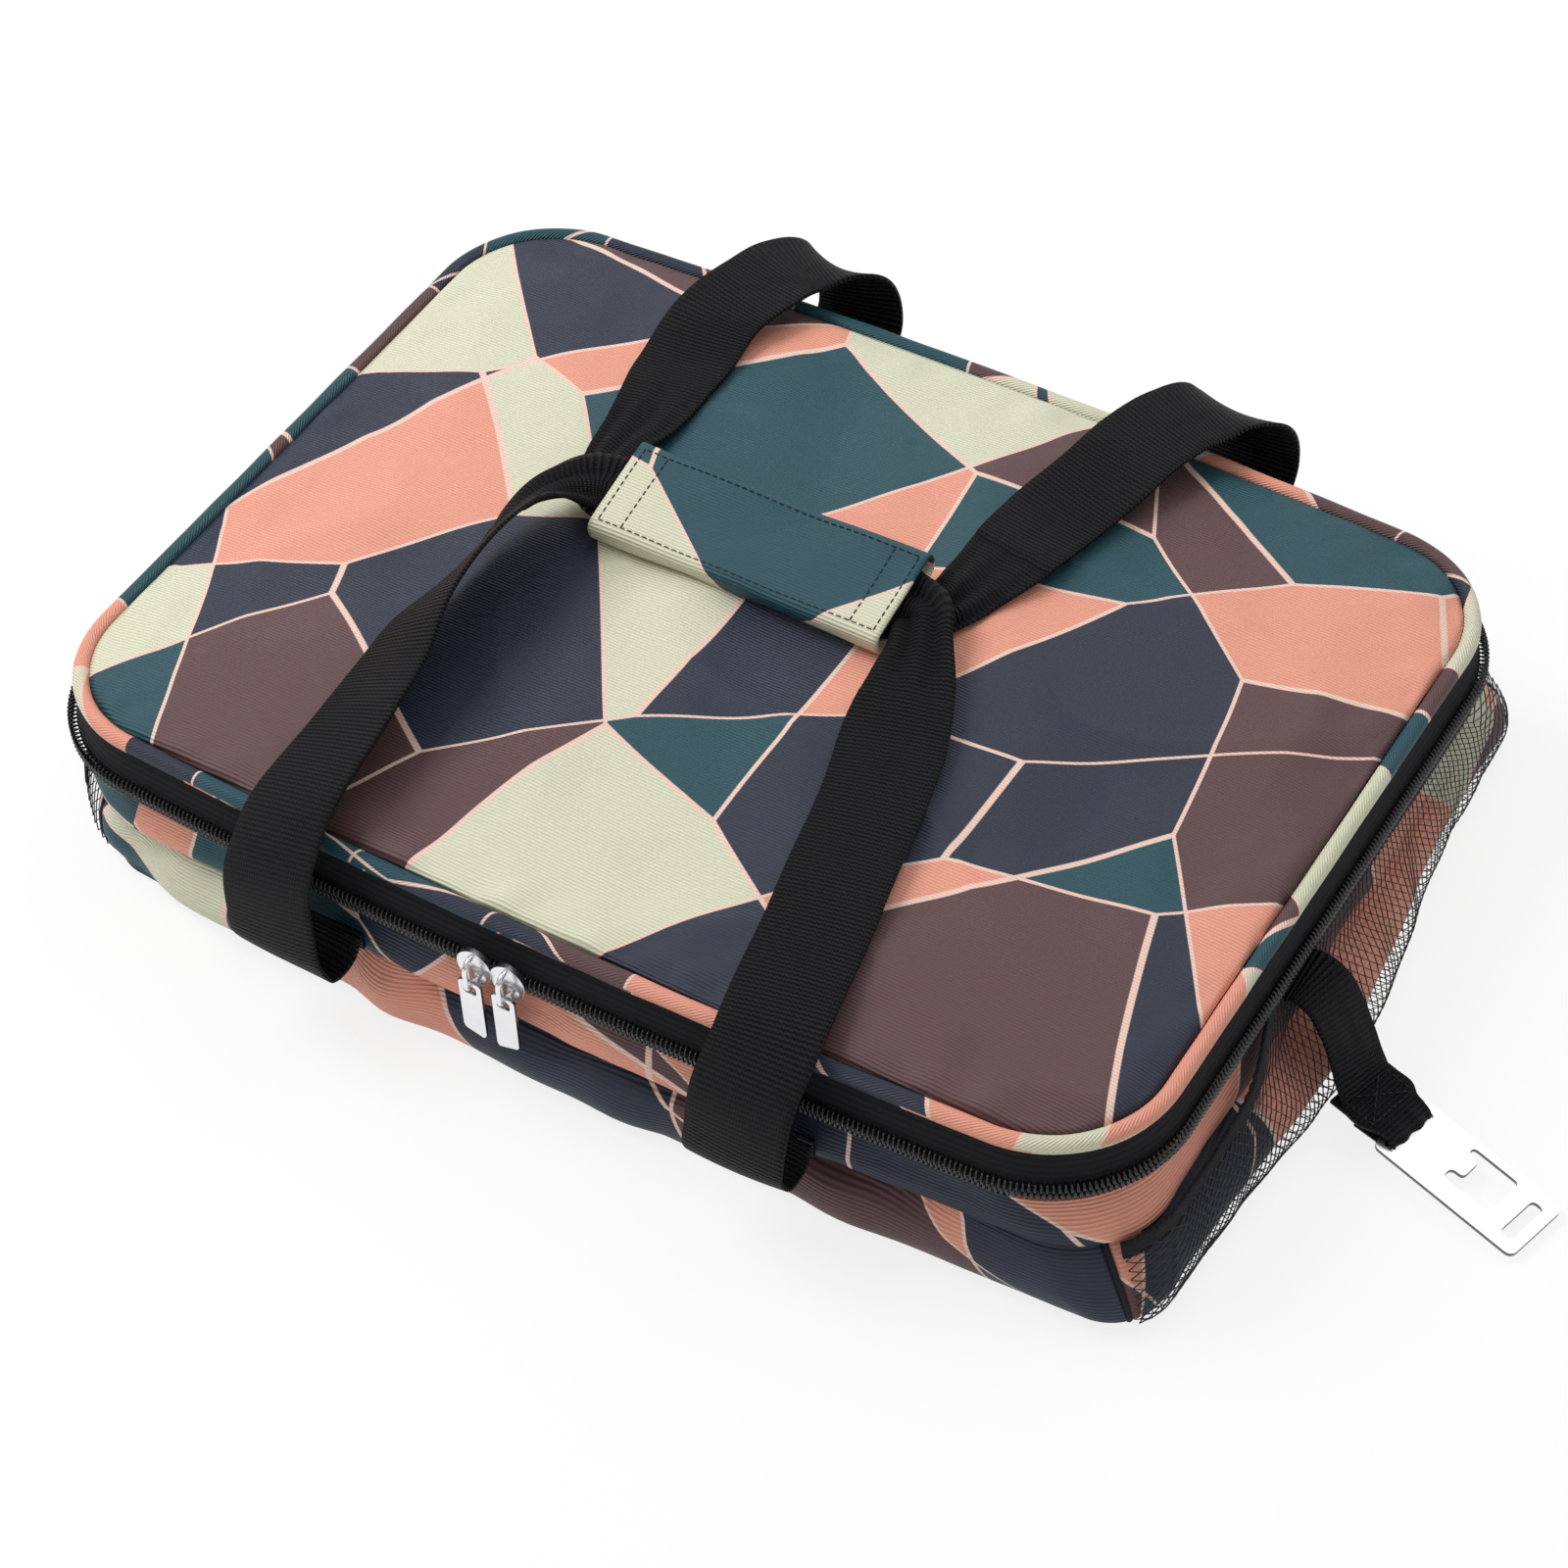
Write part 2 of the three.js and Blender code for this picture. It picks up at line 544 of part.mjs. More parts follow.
// The cuff's layers, counted from its middle plane: both fastener strips above both straps
const CUFF_THICKNESS = 2 * (CUFF_CLOTH + FASTENER_THICKNESS + WEBBING_THICKNESS) + 5 * GAP;
const LOOP_LAYER = CUFF_THICKNESS / 2 - CUFF_CLOTH - GAP - FASTENER_THICKNESS / 2;
const HOOK_LAYER = LOOP_LAYER - FASTENER_THICKNESS - GAP;
const FRONT_LAYER = HOOK_LAYER - (FASTENER_THICKNESS + WEBBING_THICKNESS) / 2 - GAP;
const BACK_LAYER = FRONT_LAYER - WEBBING_THICKNESS - GAP;
const CUFF_LEAN = THREE.MathUtils.degToRad(CUFF_TILT);
const CUFF_Z = LID_TOP + CUFF_LIFT + CUFF_WIDTH / 2 * Math.sin(CUFF_LEAN)
  + CUFF_THICKNESS / 2 * Math.cos(CUFF_LEAN);

// The straps' rows are [x, y, z, turn, lift, share]. Lengths are in thousandths of the lid's
// length, apart from y on the lid, which is in thousandths of its width. Rows that hang count y
// out from the band's face and z from the anchors, and rows that lie count z from the lid's top.
const FRONT_LEFT_HANGS = [
  [-195.6, 6.4, 6.5, 0, 0, 1],
  [-195.6, 15.3, -7.9, 0, 0, 1],
  [-197.8, 35.3, -12.4, 0, 0, 1],
  [-202.2, 48.7, 6.5, 0, 0, 1],
  [-206.7, 48.7, 37.6, 0, 5, 1],
  [-213.3, 37.6, 71, 0, 10, 1],
];
const FRONT_LEFT_LIES = [
  [-220, -515.3, 4.4, 0, 15, 1],
  [-222.2, -450.9, 15.5, 0, 20, 1],
  [-224.4, -371.2, 24.4, 0, 26, 1],
  [-228.9, -288.3, 31.1, 0, 32, 1],
  [-233.3, -208.6, 40, 0, 45, 1],
  [-231.1, -135, 44.4, 0, 56, 1],
  [-226.7, -61.3, 44.4, -12, 52, 0.95],
  [-226.7, -9.2, 38.9, -35, 34, 0.75],
  [-217.8, 36.8, 31.1, -60, 8, 0.6],
  [-197.8, 66.3, 24.9, -86, -12, 0.7],
];
const FRONT_RIGHT_LIES = [
  [106.7, 66.3, 25.1, -93, -13, 0.64],
  [122.2, 32.5, 22.6, -135, -6, 0.6],
  [135.6, -15.3, 17.8, -155, 0, 0.8],
  [148.9, -79.8, 12.2, -154, 0, 1],
  [168.9, -177.9, 10, -152, 0, 1],
  [184.4, -279.1, 8.9, -158, 0, 1],
  [197.8, -365, 7.8, -165, 0, 1],
  [208.9, -447.9, 5.5, -171, 0, 1],
  [217.8, -515.3, 0, -174, 0, 1],
];
const FRONT_RIGHT_HANGS = [
  [220, 35.3, 71, -176, 0, 1],
  [220, 48.7, 35.4, -178, 0, 1],
  [217.8, 48.7, 6.5, -178, 0, 1],
  [217.8, 35.3, -12.4, -178, 0, 1],
  [217.8, 15.3, -11.3, -180, 0, 1],
  [217.8, 6.4, 6.5, -180, 0, 1],
];
const BACK_LEFT_HANGS = [
  [-162.2, 6.4, 6.5, 0, 0, 1],
  [-162.2, 19.8, 24.3, 0, 0, 1],
  [-162.2, 35.3, 51, 0, 0, 1],
  [-171.1, 39.8, 82.1, -4, 0, 1],
];
const BACK_LEFT_LIES = [
  [-188.9, 560.1, 6.6, -10, 0, 1],
  [-211.1, 520.2, 15.5, -16, 0, 1],
  [-222.2, 465, 15.5, -20, 0, 1],
  [-233.3, 397.5, 11.1, -16, 0, 1],
  [-228.9, 302.5, 7.8, -6, 0, 0.95],
  [-220, 201.2, 10, 14, 0, 0.75],
  [-220, 142.9, 13.3, 38, 8, 0.6],
  [-213.3, 100, 16.4, 62, 12, 0.55],
  [-195.6, 73.9, 19.1, 86, 14, 0.65],
];
const BACK_RIGHT_LIES = [
  [104.4, 73.9, 18.2, 93, 13, 0.6],
  [120, 106.1, 16.4, 118, 10, 0.55],
  [126.7, 155.2, 13.3, 140, 4, 0.7],
  [133.3, 213.5, 11.1, 155, 0, 0.9],
  [142.2, 293.3, 11.1, 165, 0, 1],
  [157.8, 373, 15.5, 168, 0, 1],
  [168.9, 440.5, 20, 170, 0, 1],
  [184.4, 498.8, 20, 172, 0, 1],
  [204.4, 544.8, 13.3, 175, 0, 1],
];
const BACK_RIGHT_HANGS = [
  [222.2, 36.7, 86.5, 178, 0, 1],
  [226.7, 37.6, 53.2, 180, 0, 1],
  [226.7, 19.8, 24.3, 180, 0, 1],
  [226.7, 6.4, 6.5, 180, 0, 1],
];

// How far out the band's face reaches under a strap, at the front (side -1) or the back
function bandFace(x, side) {
  const reach = [-0.5, 0, 0.5].map((way) => (
    side * edgeY(x + way * WEBBING_WIDTH, BAND_BELLY + SHELL_CLOTH / 2, BAND_BELLY_Z, side)));
  return Math.max(...reach);
}

// A handle strap: its left rows, a straight run inside the cuff on one of its layers, and its
// right rows
function handleStrap([leftHangs, leftLies, rightLies, rightHangs], layer, side) {
  const unit = LID_LENGTH / 1000;
  const hang = ([x, y, z, ...rest]) => (
    [x * unit, side * (bandFace(0, side) + y * unit), ANCHOR_LEVEL + z * unit, ...rest]);
  const lie = ([x, y, z, ...rest]) => (
    [x * unit, y * LID_WIDTH / 1000, LID_TOP + z * unit, ...rest]);
  const y = CUFF_Y - layer * Math.sin(CUFF_LEAN);
  const z = CUFF_Z + layer * Math.cos(CUFF_LEAN);
  const ends = [[-0.484, 0.76], [-0.387, 0.8], [0.387, 0.8], [0.484, 0.76]];
  const run = ends.map(([way, share]) => (
    [CUFF_X + way * CUFF_LENGTH, y, z, side * 90, side * CUFF_TILT, share]));
  const left = [...leftHangs.map(hang), ...leftLies.map(lie)];
  return [...left, ...run, ...rightLies.map(lie), ...rightHangs.map(hang)];
}

// Handles: both straps and the patch that is sewn through at each of their ends
function buildHandles() {
  const frontRows = [FRONT_LEFT_HANGS, FRONT_LEFT_LIES, FRONT_RIGHT_LIES, FRONT_RIGHT_HANGS];
  const backRows = [BACK_LEFT_HANGS, BACK_LEFT_LIES, BACK_RIGHT_LIES, BACK_RIGHT_HANGS];
  const front = handleStrap(frontRows, FRONT_LAYER, -1);
  const back = handleStrap(backRows, BACK_LAYER, 1);
  addPiece('front_strap', strapAlong(front, WEBBING_WIDTH, WEBBING_THICKNESS), WEBBING);
  addPiece('back_strap', strapAlong(back, WEBBING_WIDTH, WEBBING_THICKNESS), WEBBING);
  const ends = {
    front_strap_left_patch: front[0],
    front_strap_right_patch: front.at(-1),
    back_strap_left_patch: back[0],
    back_strap_right_patch: back.at(-1),
  };
  for (const [name, [x, y]] of Object.entries(ends)) {
    const side = Math.sign(y);
    const foot = bandFace(x, side) + GAP;
    const thickness = Math.abs(y) - WEBBING_THICKNESS / 2 - GAP - foot;
    const middle = side * (foot + thickness / 2);
    const patch = block(WEBBING_WIDTH, thickness, ANCHOR_HEIGHT, x, middle, ANCHOR_LEVEL);
    addPiece(name, patch, WEBBING);
  }
}

// Cuff: a printed sleeve closed by hook and loop, round both straps
function buildCuff() {
  const ring = (inset, x) => {
    const [a, b] = [CUFF_WIDTH / 2 - inset, CUFF_THICKNESS / 2 - inset];
    const corner = Math.max(CUFF_CORNER - inset, CUFF_CORNER / 4);
    const points = [];
    [[1, -1], [1, 1], [-1, 1], [-1, -1]].forEach(([sideY, sideZ], turn) => {
      for (let step = 0; step <= 2; step += 1) {
        const angle = (turn - 1 + step / 2) * Math.PI / 2;
        const y = sideY * (a - corner) + corner * Math.cos(angle);
        const z = sideZ * (b - corner) + corner * Math.sin(angle);
        points.push(new THREE.Vector3(x, y, z));
      }
    });
    return points;
  };
  const half = CUFF_LENGTH / 2;
  const rings = [ring(0, -half), ring(0, half), ring(CUFF_CLOTH, half), ring(CUFF_CLOTH, -half)];
  const fastener = (layer) => (
    block(FASTENER_LENGTH, FASTENER_WIDTH, FASTENER_THICKNESS, 0, FASTENER_SHIFT, layer));
  const pieces = [
    ['cuff_sleeve', bodyThrough(rings, { closed: true }), PRINT],
    ['cuff_loop_strip', fastener(LOOP_LAYER), TAPE],
    ['cuff_hook_strip', fastener(HOOK_LAYER), TAPE],
  ];
  for (const [name, geometry, look] of pieces) {
    const piece = addPiece(name, geometry, look);
    piece.rotation.x = CUFF_LEAN;
    piece.position.set(CUFF_X, CUFF_Y, CUFF_Z);
  }
}

// Mesh pockets: bellied nets sewn to both end walls along the foot and both sides, with an
// elastic edge along the top
function buildPockets() {
  const foot = SHELL_CLOTH * 1.4 + GAP;
  const bulged = (side) => (out, z) => wallOutline(out, z).map((point) => {
    const fromMiddle = (point.y - POCKET_BULGE_Y) / POCKET_BULGE_WIDTH;
    const up = THREE.MathUtils.clamp((z - foot) / (POCKET_TOP - foot), 0, 1);
    const bulge = POCKET_BULGE * Math.exp(-(fromMiddle ** 2)) * Math.sin(Math.PI * Math.sqrt(up));
    return point.clone().setX(point.x + side * bulge);
  });
  const clear = SHELL_CLOTH / 2 + GAP + NET_CLOTH / 2;
  const mouthOut = BAND_BELLY + SHELL_CLOTH / 2 + GAP + ELASTIC_THICKNESS / 2;
  const netLine = [
    [BELLY_DEPTH * 0.25 + clear * Math.SQRT2, foot],
    [BELLY_DEPTH * 0.75 + clear * Math.SQRT2, BELLY_HEIGHT * 0.45],
    [BELLY_DEPTH + clear, BELLY_HEIGHT],
    [(BELLY_DEPTH + clear + mouthOut) / 2, (BELLY_HEIGHT + POCKET_TOP) / 2],
    [mouthOut, POCKET_TOP - GAP],
  ];
  const elasticLine = [[mouthOut, POCKET_TOP], [mouthOut, POCKET_TOP + POCKET_ELASTIC]];
  const net = strip(netLine, NET_CLOTH);
  const elastic = strip(elasticLine, ELASTIC_THICKNESS);
  const ends = [
    ['left', -1, BACK_LEFT + 2, STATIONS - 2],
    ['right', 1, FRONT_RIGHT + 2, BACK_RIGHT - 2],
  ];
  for (const [name, side, from, to] of ends) {
    addPiece(`pocket_net_${name}`, sweepRound(net, from, to, bulged(side)), NET);
    addPiece(`pocket_elastic_${name}`, sweepRound(elastic, from, to, bulged(side)), TAPE);
  }
}

// Side tab: a webbing strip from the right end of the rim that loops round the opener's bar.
// The rows count x from the lid's right edge.
const TAB_ROWS = [
  [0.6, -26, 43, 90, 0, 1],
  [6, -26, 43.2, 90, 0, 1],
  [13, -27.5, 41, 87, 0, 1],
  [20.5, -30.5, 35, 83, 0, 0.96],
  [27, -33.5, 27.5, 80, 0, 0.94],
  [32.5, -36.5, 19.5, 77, 0, 0.96],
];

function buildTabAndOpener() {
  const edgeX = LID_LENGTH / 2;
  const bar = new THREE.Vector3(edgeX + OPENER_REACH, OPENER_Y, OPENER_HEIGHT);
  const turn = THREE.MathUtils.degToRad(OPENER_TURN);
  const dip = THREE.MathUtils.degToRad(OPENER_DIP);
  const across = new THREE.Vector3(-Math.sin(turn), Math.cos(turn), 0);
  const along = new THREE.Vector3(Math.cos(turn), Math.sin(turn), 0).applyAxisAngle(across, dip);
  const up = along.clone().cross(across);
  const frame = new THREE.Matrix4().makeBasis(along, across, up).setPosition(bar);

  // In the plate's frame the bar's middle is the origin and the plate runs along +X
  const middleX = OPENER_LENGTH / 2 - OPENER_BAR / 2;
  const slotX = OPENER_BAR / 2 + OPENER_SLOT / 2;
  const mouthFoot = OPENER_MOUTH_X - OPENER_MOUTH / 2;
  const hookY = OPENER_MOUTH_Y - (OPENER_MOUTH - OPENER_HOOK_WIDTH) / 2;
  const blank = plate(OPENER_LENGTH, OPENER_WIDTH, OPENER_CORNER, OPENER_THICKNESS);
  const cuts = [
    [OPENER_SLOT, TAB_WIDTH - 3, slotX, 0],
    [OPENER_MOUTH, OPENER_MOUTH, OPENER_MOUTH_X, OPENER_MOUTH_Y],
    [OPENER_HOOK_LENGTH, OPENER_HOOK_WIDTH, mouthFoot - OPENER_HOOK_LENGTH / 3, hookY],
    [OPENER_SLOT, OPENER_EYE_WIDTH, OPENER_LENGTH - OPENER_EYE_INSET, 0],
  ];
  let opener = toSolid(blank.translate(middleX, 0, -OPENER_THICKNESS / 2));
  for (const [length, width, x, y] of cuts) {
    opener = opener.subtract(toSolid(block(length, width, 3 * OPENER_THICKNESS, x, y, 0)));
  }
  addPiece('bottle_opener', toGeometry(opener).applyMatrix4(frame), STEEL);

  // The webbing comes over the bar, goes through the slot and back underneath, clear of the
  // bar's swing
  const swing = Math.hypot(OPENER_BAR, OPENER_THICKNESS) / 2;
  const clear = swing + GAP + WEBBING_THICKNESS / 2;
  const bend = WEBBING_THICKNESS * 0.4;
  const shoulder = OPENER_BAR / 2 + 1.1;
  const loop = [
    [-14, clear, 1],
    [-7, clear, 1],
    [-2.5, clear, 0.84],
    [0, clear, 0.78],
    [shoulder, clear, 0.78],
    [slotX, bend, 0.78],
    [slotX, -bend, 0.78],
    [shoulder, -clear, 0.78],
    [0, -clear, 0.78],
    [-12, -clear, 0.82],
  ].map(([x, z, share]) => {
    const point = new THREE.Vector3(x, 0, z).applyMatrix4(frame);
    return [point.x, point.y, point.z, OPENER_TURN + 90, 0, share];
  });
  const route = TAB_ROWS.map(([x, ...rest]) => [edgeX + x, ...rest]);
  addPiece('opener_tab', strapAlong([...route, ...loop], TAB_WIDTH, WEBBING_THICKNESS), WEBBING);
}

buildWalls(buildBase());
buildRim();
buildLid();
buildZip();
buildSlider('slider_left', 'pull_left', LEFT_SLIDER_X);
buildSlider('slider_right', 'pull_right', RIGHT_SLIDER_X);
buildHandles();
buildCuff();
buildPockets();
buildTabAndOpener();

export default bag;
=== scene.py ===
import math

import bmesh
import bpy
import numpy as np
from mathutils import Matrix


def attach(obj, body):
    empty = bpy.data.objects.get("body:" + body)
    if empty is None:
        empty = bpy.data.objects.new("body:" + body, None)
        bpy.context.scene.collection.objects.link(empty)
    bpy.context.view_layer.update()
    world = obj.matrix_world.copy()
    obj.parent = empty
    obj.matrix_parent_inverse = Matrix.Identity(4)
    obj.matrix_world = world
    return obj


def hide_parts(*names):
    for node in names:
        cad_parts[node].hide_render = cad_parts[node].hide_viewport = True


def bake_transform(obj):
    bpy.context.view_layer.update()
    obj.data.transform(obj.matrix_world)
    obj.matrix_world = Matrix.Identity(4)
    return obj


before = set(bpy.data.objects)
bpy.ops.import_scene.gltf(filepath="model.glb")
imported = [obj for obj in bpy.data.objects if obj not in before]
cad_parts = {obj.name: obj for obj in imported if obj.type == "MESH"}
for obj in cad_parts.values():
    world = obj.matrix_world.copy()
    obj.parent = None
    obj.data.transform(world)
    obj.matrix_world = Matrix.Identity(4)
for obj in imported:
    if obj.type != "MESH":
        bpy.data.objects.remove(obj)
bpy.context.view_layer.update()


# Stage and camera.
# A white sweep of paper on the floor, one broad soft lamp from the left and a wide weak panel
# over the back, as in a catalogue picture. The camera stands where the picture was taken.
class Wire:
    """One shader output. Its operators and methods add the node that works them out."""

    def __init__(self, finish, socket, vector=False):
        self.finish, self.socket, self.vector = finish, socket, vector

    def math(self, operation, *others):
        """The node of one operation, or its vector node if any value in it is a vector."""
        if self.vector or any(isinstance(o, Wire) and o.vector for o in others):
            others = [o if isinstance(o, (Wire, tuple)) else (o, o, o) for o in others]
            return self.finish.node("VectorMath", {"operation": operation},
                                    dict(enumerate([self, *others])), vector=True)
        return self.finish.node("Math", {"operation": operation}, dict(enumerate([self, *others])))

    def __add__(self, other):
        return self.math("ADD", other)

    def __sub__(self, other):
        return self.math("SUBTRACT", other)

    def __mul__(self, other):
        return self.math("MULTIPLY", other)

    def __truediv__(self, other):
        return self.math("DIVIDE", other)

    def __rsub__(self, other):
        return (self * -1.0) + other

    __radd__ = __add__
    __rmul__ = __mul__

    def sine(self):
        """The sine of an angle in radians."""
        return self.math("SINE")

    def part(self, axis):
        """One of a vector's three parts."""
        return self.finish.node("SeparateXYZ", {}, {"Vector": self}, output=axis)

    def step(self, low, high):
        """0 below low, 1 above high, smooth between them."""
        return self.finish.node("MapRange", {"interpolation_type": "SMOOTHSTEP"},
                                {"Value": self, "From Min": low, "From Max": high})


class Finish:
    """A node material. Its methods add the nodes of its pattern and its surface shader."""

    def __init__(self, name):
        self.material = bpy.data.materials.new(name)
        self.material.use_nodes = True
        self.tree = self.material.node_tree
        self.tree.nodes.clear()

    def node(self, kind, settings, inputs, output=0, vector=False):
        """A node by its type, its settings and the values or links of its sockets. A colour ramp's
        settings are its stops, each a place and a colour, and how it blends between them."""
        made = self.tree.nodes.new("ShaderNode" + kind)
        for key, value in settings.items():
            if key == "stops":
                ramp = made.color_ramp
                ramp.interpolation = settings.get("blend", "LINEAR")
                while len(ramp.elements) < len(value):
                    ramp.elements.new(1)
                for element, (place, colour) in zip(ramp.elements, value):
                    element.position, element.color = place, (*colour, 1)
            elif key != "blend":
                setattr(made, key, value)
        for key, value in inputs.items():
            if isinstance(value, Wire):
                self.tree.links.new(value.socket, made.inputs[key])
            else:
                made.inputs[key].default_value = value
        return Wire(self, made.outputs[output], vector)

    def mix(self, share, first, second):
        """Two colours mixed, with a share of the second."""
        inputs = {0: share}
        for place, colour in ((6, first), (7, second)):
            inputs[place] = colour if isinstance(colour, Wire) else (*colour, 1)
        return self.node("Mix", {"data_type": "RGBA"}, inputs, output=2, vector=True)

    def noise(self, place, scale, detail=2.0, rough=0.5):
        """Soft noise from 0 to 1, with scale cells to the metre and finer ones on top."""
        return self.node("TexNoise", {}, {"Vector": place, "Scale": scale, "Detail": detail,
                                          "Roughness": rough})

    def bump(self, height, distance, strength):
        """The normal of a surface raised by height times distance."""
        return self.node("Bump", {}, {"Height": height, "Distance": distance,
                                      "Strength": strength}, vector=True)

    def place(self, kind="Object"):
        """The coordinates that a pattern lies on: the piece's own, or its cloth's with UV."""
        return self.node("TexCoord", {}, {}, output=kind, vector=True)

    def output(self, shader):
        """The material, with a shader as its surface."""
        end = self.tree.nodes.new("ShaderNodeOutputMaterial")
        self.tree.links.new(shader.socket, end.inputs[0])
        return self.material

    def principled(self, inputs):
        """The material, with the usual surface shader and its inputs."""
        return self.output(self.node("BsdfPrincipled", {}, inputs))


def paper_finish():
    """White paper that shows as white to the eye and in reflections, and keeps the shadow."""
    paper = Finish("paper")
    diffuse = paper.node("BsdfDiffuse", {}, {"Color": (0.86, 0.86, 0.86, 1)})
    glow = paper.node("Emission", {}, {"Color": (1, 1, 1, 1), "Strength": 1.02})
    ray = paper.node("LightPath", {}, {}, output="Is Camera Ray")
    for kind in ("Is Glossy Ray", "Is Transmission Ray"):
        ray = ray.math("MAXIMUM", paper.node("LightPath", {}, {}, output=kind))
    return paper.output(paper.node("MixShader", {}, {0: ray * 0.8, 1: diffuse, 2: glow}))


sweep_profile = [(y, 0.0) for y in (-9.0, -3.0, 0.0, 1.5, 2.5)]
sweep_profile += [(2.5 + 0.8 * math.sin(a), 0.8 - 0.8 * math.cos(a)) for a in np.linspace(0.2, 1.57, 8)]
sweep_profile += [(3.3, 3.0)]
sweep_points = [(x, y, z - 0.0002) for x in (-8.0, 8.0) for y, z in sweep_profile]
sweep_count = len(sweep_profile)
sweep_faces = [(i, i + sweep_count, i + 1 + sweep_count, i + 1) for i in range(sweep_count - 1)]
sweep_mesh = bpy.data.meshes.new("paper_sweep")
sweep_mesh.from_pydata(sweep_points, [], sweep_faces)
sweep_mesh.materials.append(paper_finish())
sweep = bpy.data.objects.new("paper_sweep", sweep_mesh)
bpy.context.collection.objects.link(sweep)

world = bpy.data.worlds.new("studio")
bpy.context.scene.world = world
world.use_nodes = True
world.node_tree.nodes["Background"].inputs["Color"].default_value = (1, 1, 1, 1)
world.node_tree.nodes["Background"].inputs["Strength"].default_value = 0.55


def place_matrix(axes, place):
    """The matrix that turns x, y and z to three axes, one a row, and moves them to a place."""
    return Matrix([[*row, p] for row, p in zip(np.array(axes).T, place)] + [[0, 0, 0, 1]])


def lamp(name, place, size, power):
    """A square soft lamp that looks at the bag."""
    light = bpy.data.lights.new(name, "AREA")
    light.shape, light.size, light.energy = "SQUARE", size, power
    holder = bpy.data.objects.new(name, light)
    bpy.context.collection.objects.link(holder)
    back = np.array(place) - np.array((0, 0, 0.05))
    back = back / np.linalg.norm(back)
    right = np.cross((0, 0, 1), back)
    right = right / np.linalg.norm(right)
    holder.matrix_world = place_matrix((right, np.cross(back, right), back), place)


lamp("key_lamp", (-1.2, -0.2, 1.6), 1.0, 24)
lamp("back_panel", (0.05, 1.15, 1.6), 1.4, 9)

camera_data = bpy.data.cameras.new("camera")
camera_data.lens = 89.48
camera_data.sensor_width = 36
camera_data.clip_start = 0.05
camera = bpy.data.objects.new("camera", camera_data)
bpy.context.collection.objects.link(camera)
camera_axes = (0.8560, 0.5161, -0.0309), (-0.3629, 0.6424, 0.6750), (0.3682, -0.5666, 0.7371)
camera.matrix_world = place_matrix(camera_axes, (0.54758, -0.84170, 1.08997))
bpy.context.scene.camera = camera
bpy.context.scene.view_settings.view_transform = "Standard"


# Base: board, foam, lining and the cloth that lies on the floor.
# A stiff board under foam keeps the bottom flat. Film lining is welded over it, and the printed
# cloth of the bag closes it below.
BASE_SIZE, LID_SIZE = (0.430, 0.320), (0.450, 0.326)
BASE_SHAPE = (*BASE_SIZE, 0.016, 0.007, 0.013, 0.03)
LID_SHAPE = (*LID_SIZE, 0.050, 0.0047, 0, 0)
BAND_TOP, BELLY_HEIGHT = 0.045, 0.012
CORNER_X, CORNER_Y = np.array([1, 1, -1, -1]), np.array([-1, 1, 1, -1])
PART_LENGTHS = np.array([0.35, 0.078, 0.226, 0.078] * 2)
CLOTH_THICK, FILM_THICK = 0.0013, 0.0007
POLE_MERGE, SMALLEST_CORNER = 0.0003, 0.00005


def rounded(shape, out, q):
    """Points round a rounded rectangle, moved out by a distance. q runs from 0 to 8: front edge,
    front right corner, right edge, back right corner and on round, one whole number each. A shape
    is its length, width, corner radius, long edges' bow, shift along x and skew."""
    length, width, corner, bow, shift, skew = shape
    part = np.floor(q).astype(int) % 8
    share = q - np.floor(q)
    here = part // 2
    before = (here - 1) % 4
    radius = np.maximum(corner + out, SMALLEST_CORNER)
    reach_x, reach_y = length / 2 + out - radius, width / 2 + out - radius
    odd = part % 2
    angle = np.where(odd, here - 1 + share, here - 1.0) * math.pi / 2
    sign_x = np.where(odd, CORNER_X[here], CORNER_X[before] * (1 - share) + CORNER_X[here] * share)
    sign_y = np.where(odd, CORNER_Y[here], CORNER_Y[before] * (1 - share) + CORNER_Y[here] * share)
    x = sign_x * reach_x + radius * np.cos(angle)
    y = sign_y * reach_y + radius * np.sin(angle)
    middle = np.minimum(np.abs(x) / np.maximum(reach_x, 0.001), 1)
    y = y + np.sign(y) * bow * (1 - middle ** 2) * np.clip(1 + 2 * out / width, 0, 1)
    return x + shift - skew * y, y


def bag_wall(out, z, q):
    """Points of the folded bag: the lid's outline above the band, the base's on the floor, and
    a straight blend of the two between."""
    share = np.clip((BAND_TOP - z) / (BAND_TOP - BELLY_HEIGHT / 2), 0, 1)
    above, below = rounded(LID_SHAPE, out, q), rounded(BASE_SHAPE, out, q)
    x, y = (a * (1 - share) + b * share for a, b in zip(above, below))
    return np.stack(np.broadcast_arrays(x, y, z), axis=-1)


def around(start, end, step):
    """Values of q from start to end, about step metres apart along the outline."""
    values = []
    for part in range(math.floor(start), math.ceil(end)):
        low, high = max(start, part), min(end, part + 1)
        count = max(int(round(PART_LENGTHS[part % 8] * (high - low) / step)), 2)
        values.append(np.linspace(low, high, count, endpoint=False))
    return np.concatenate([*values, [end]])


def along(points):
    """Length along a row of points, from its first one."""
    steps = np.linalg.norm(np.diff(points, axis=0), axis=1)
    return np.concatenate([[0], np.cumsum(steps)])


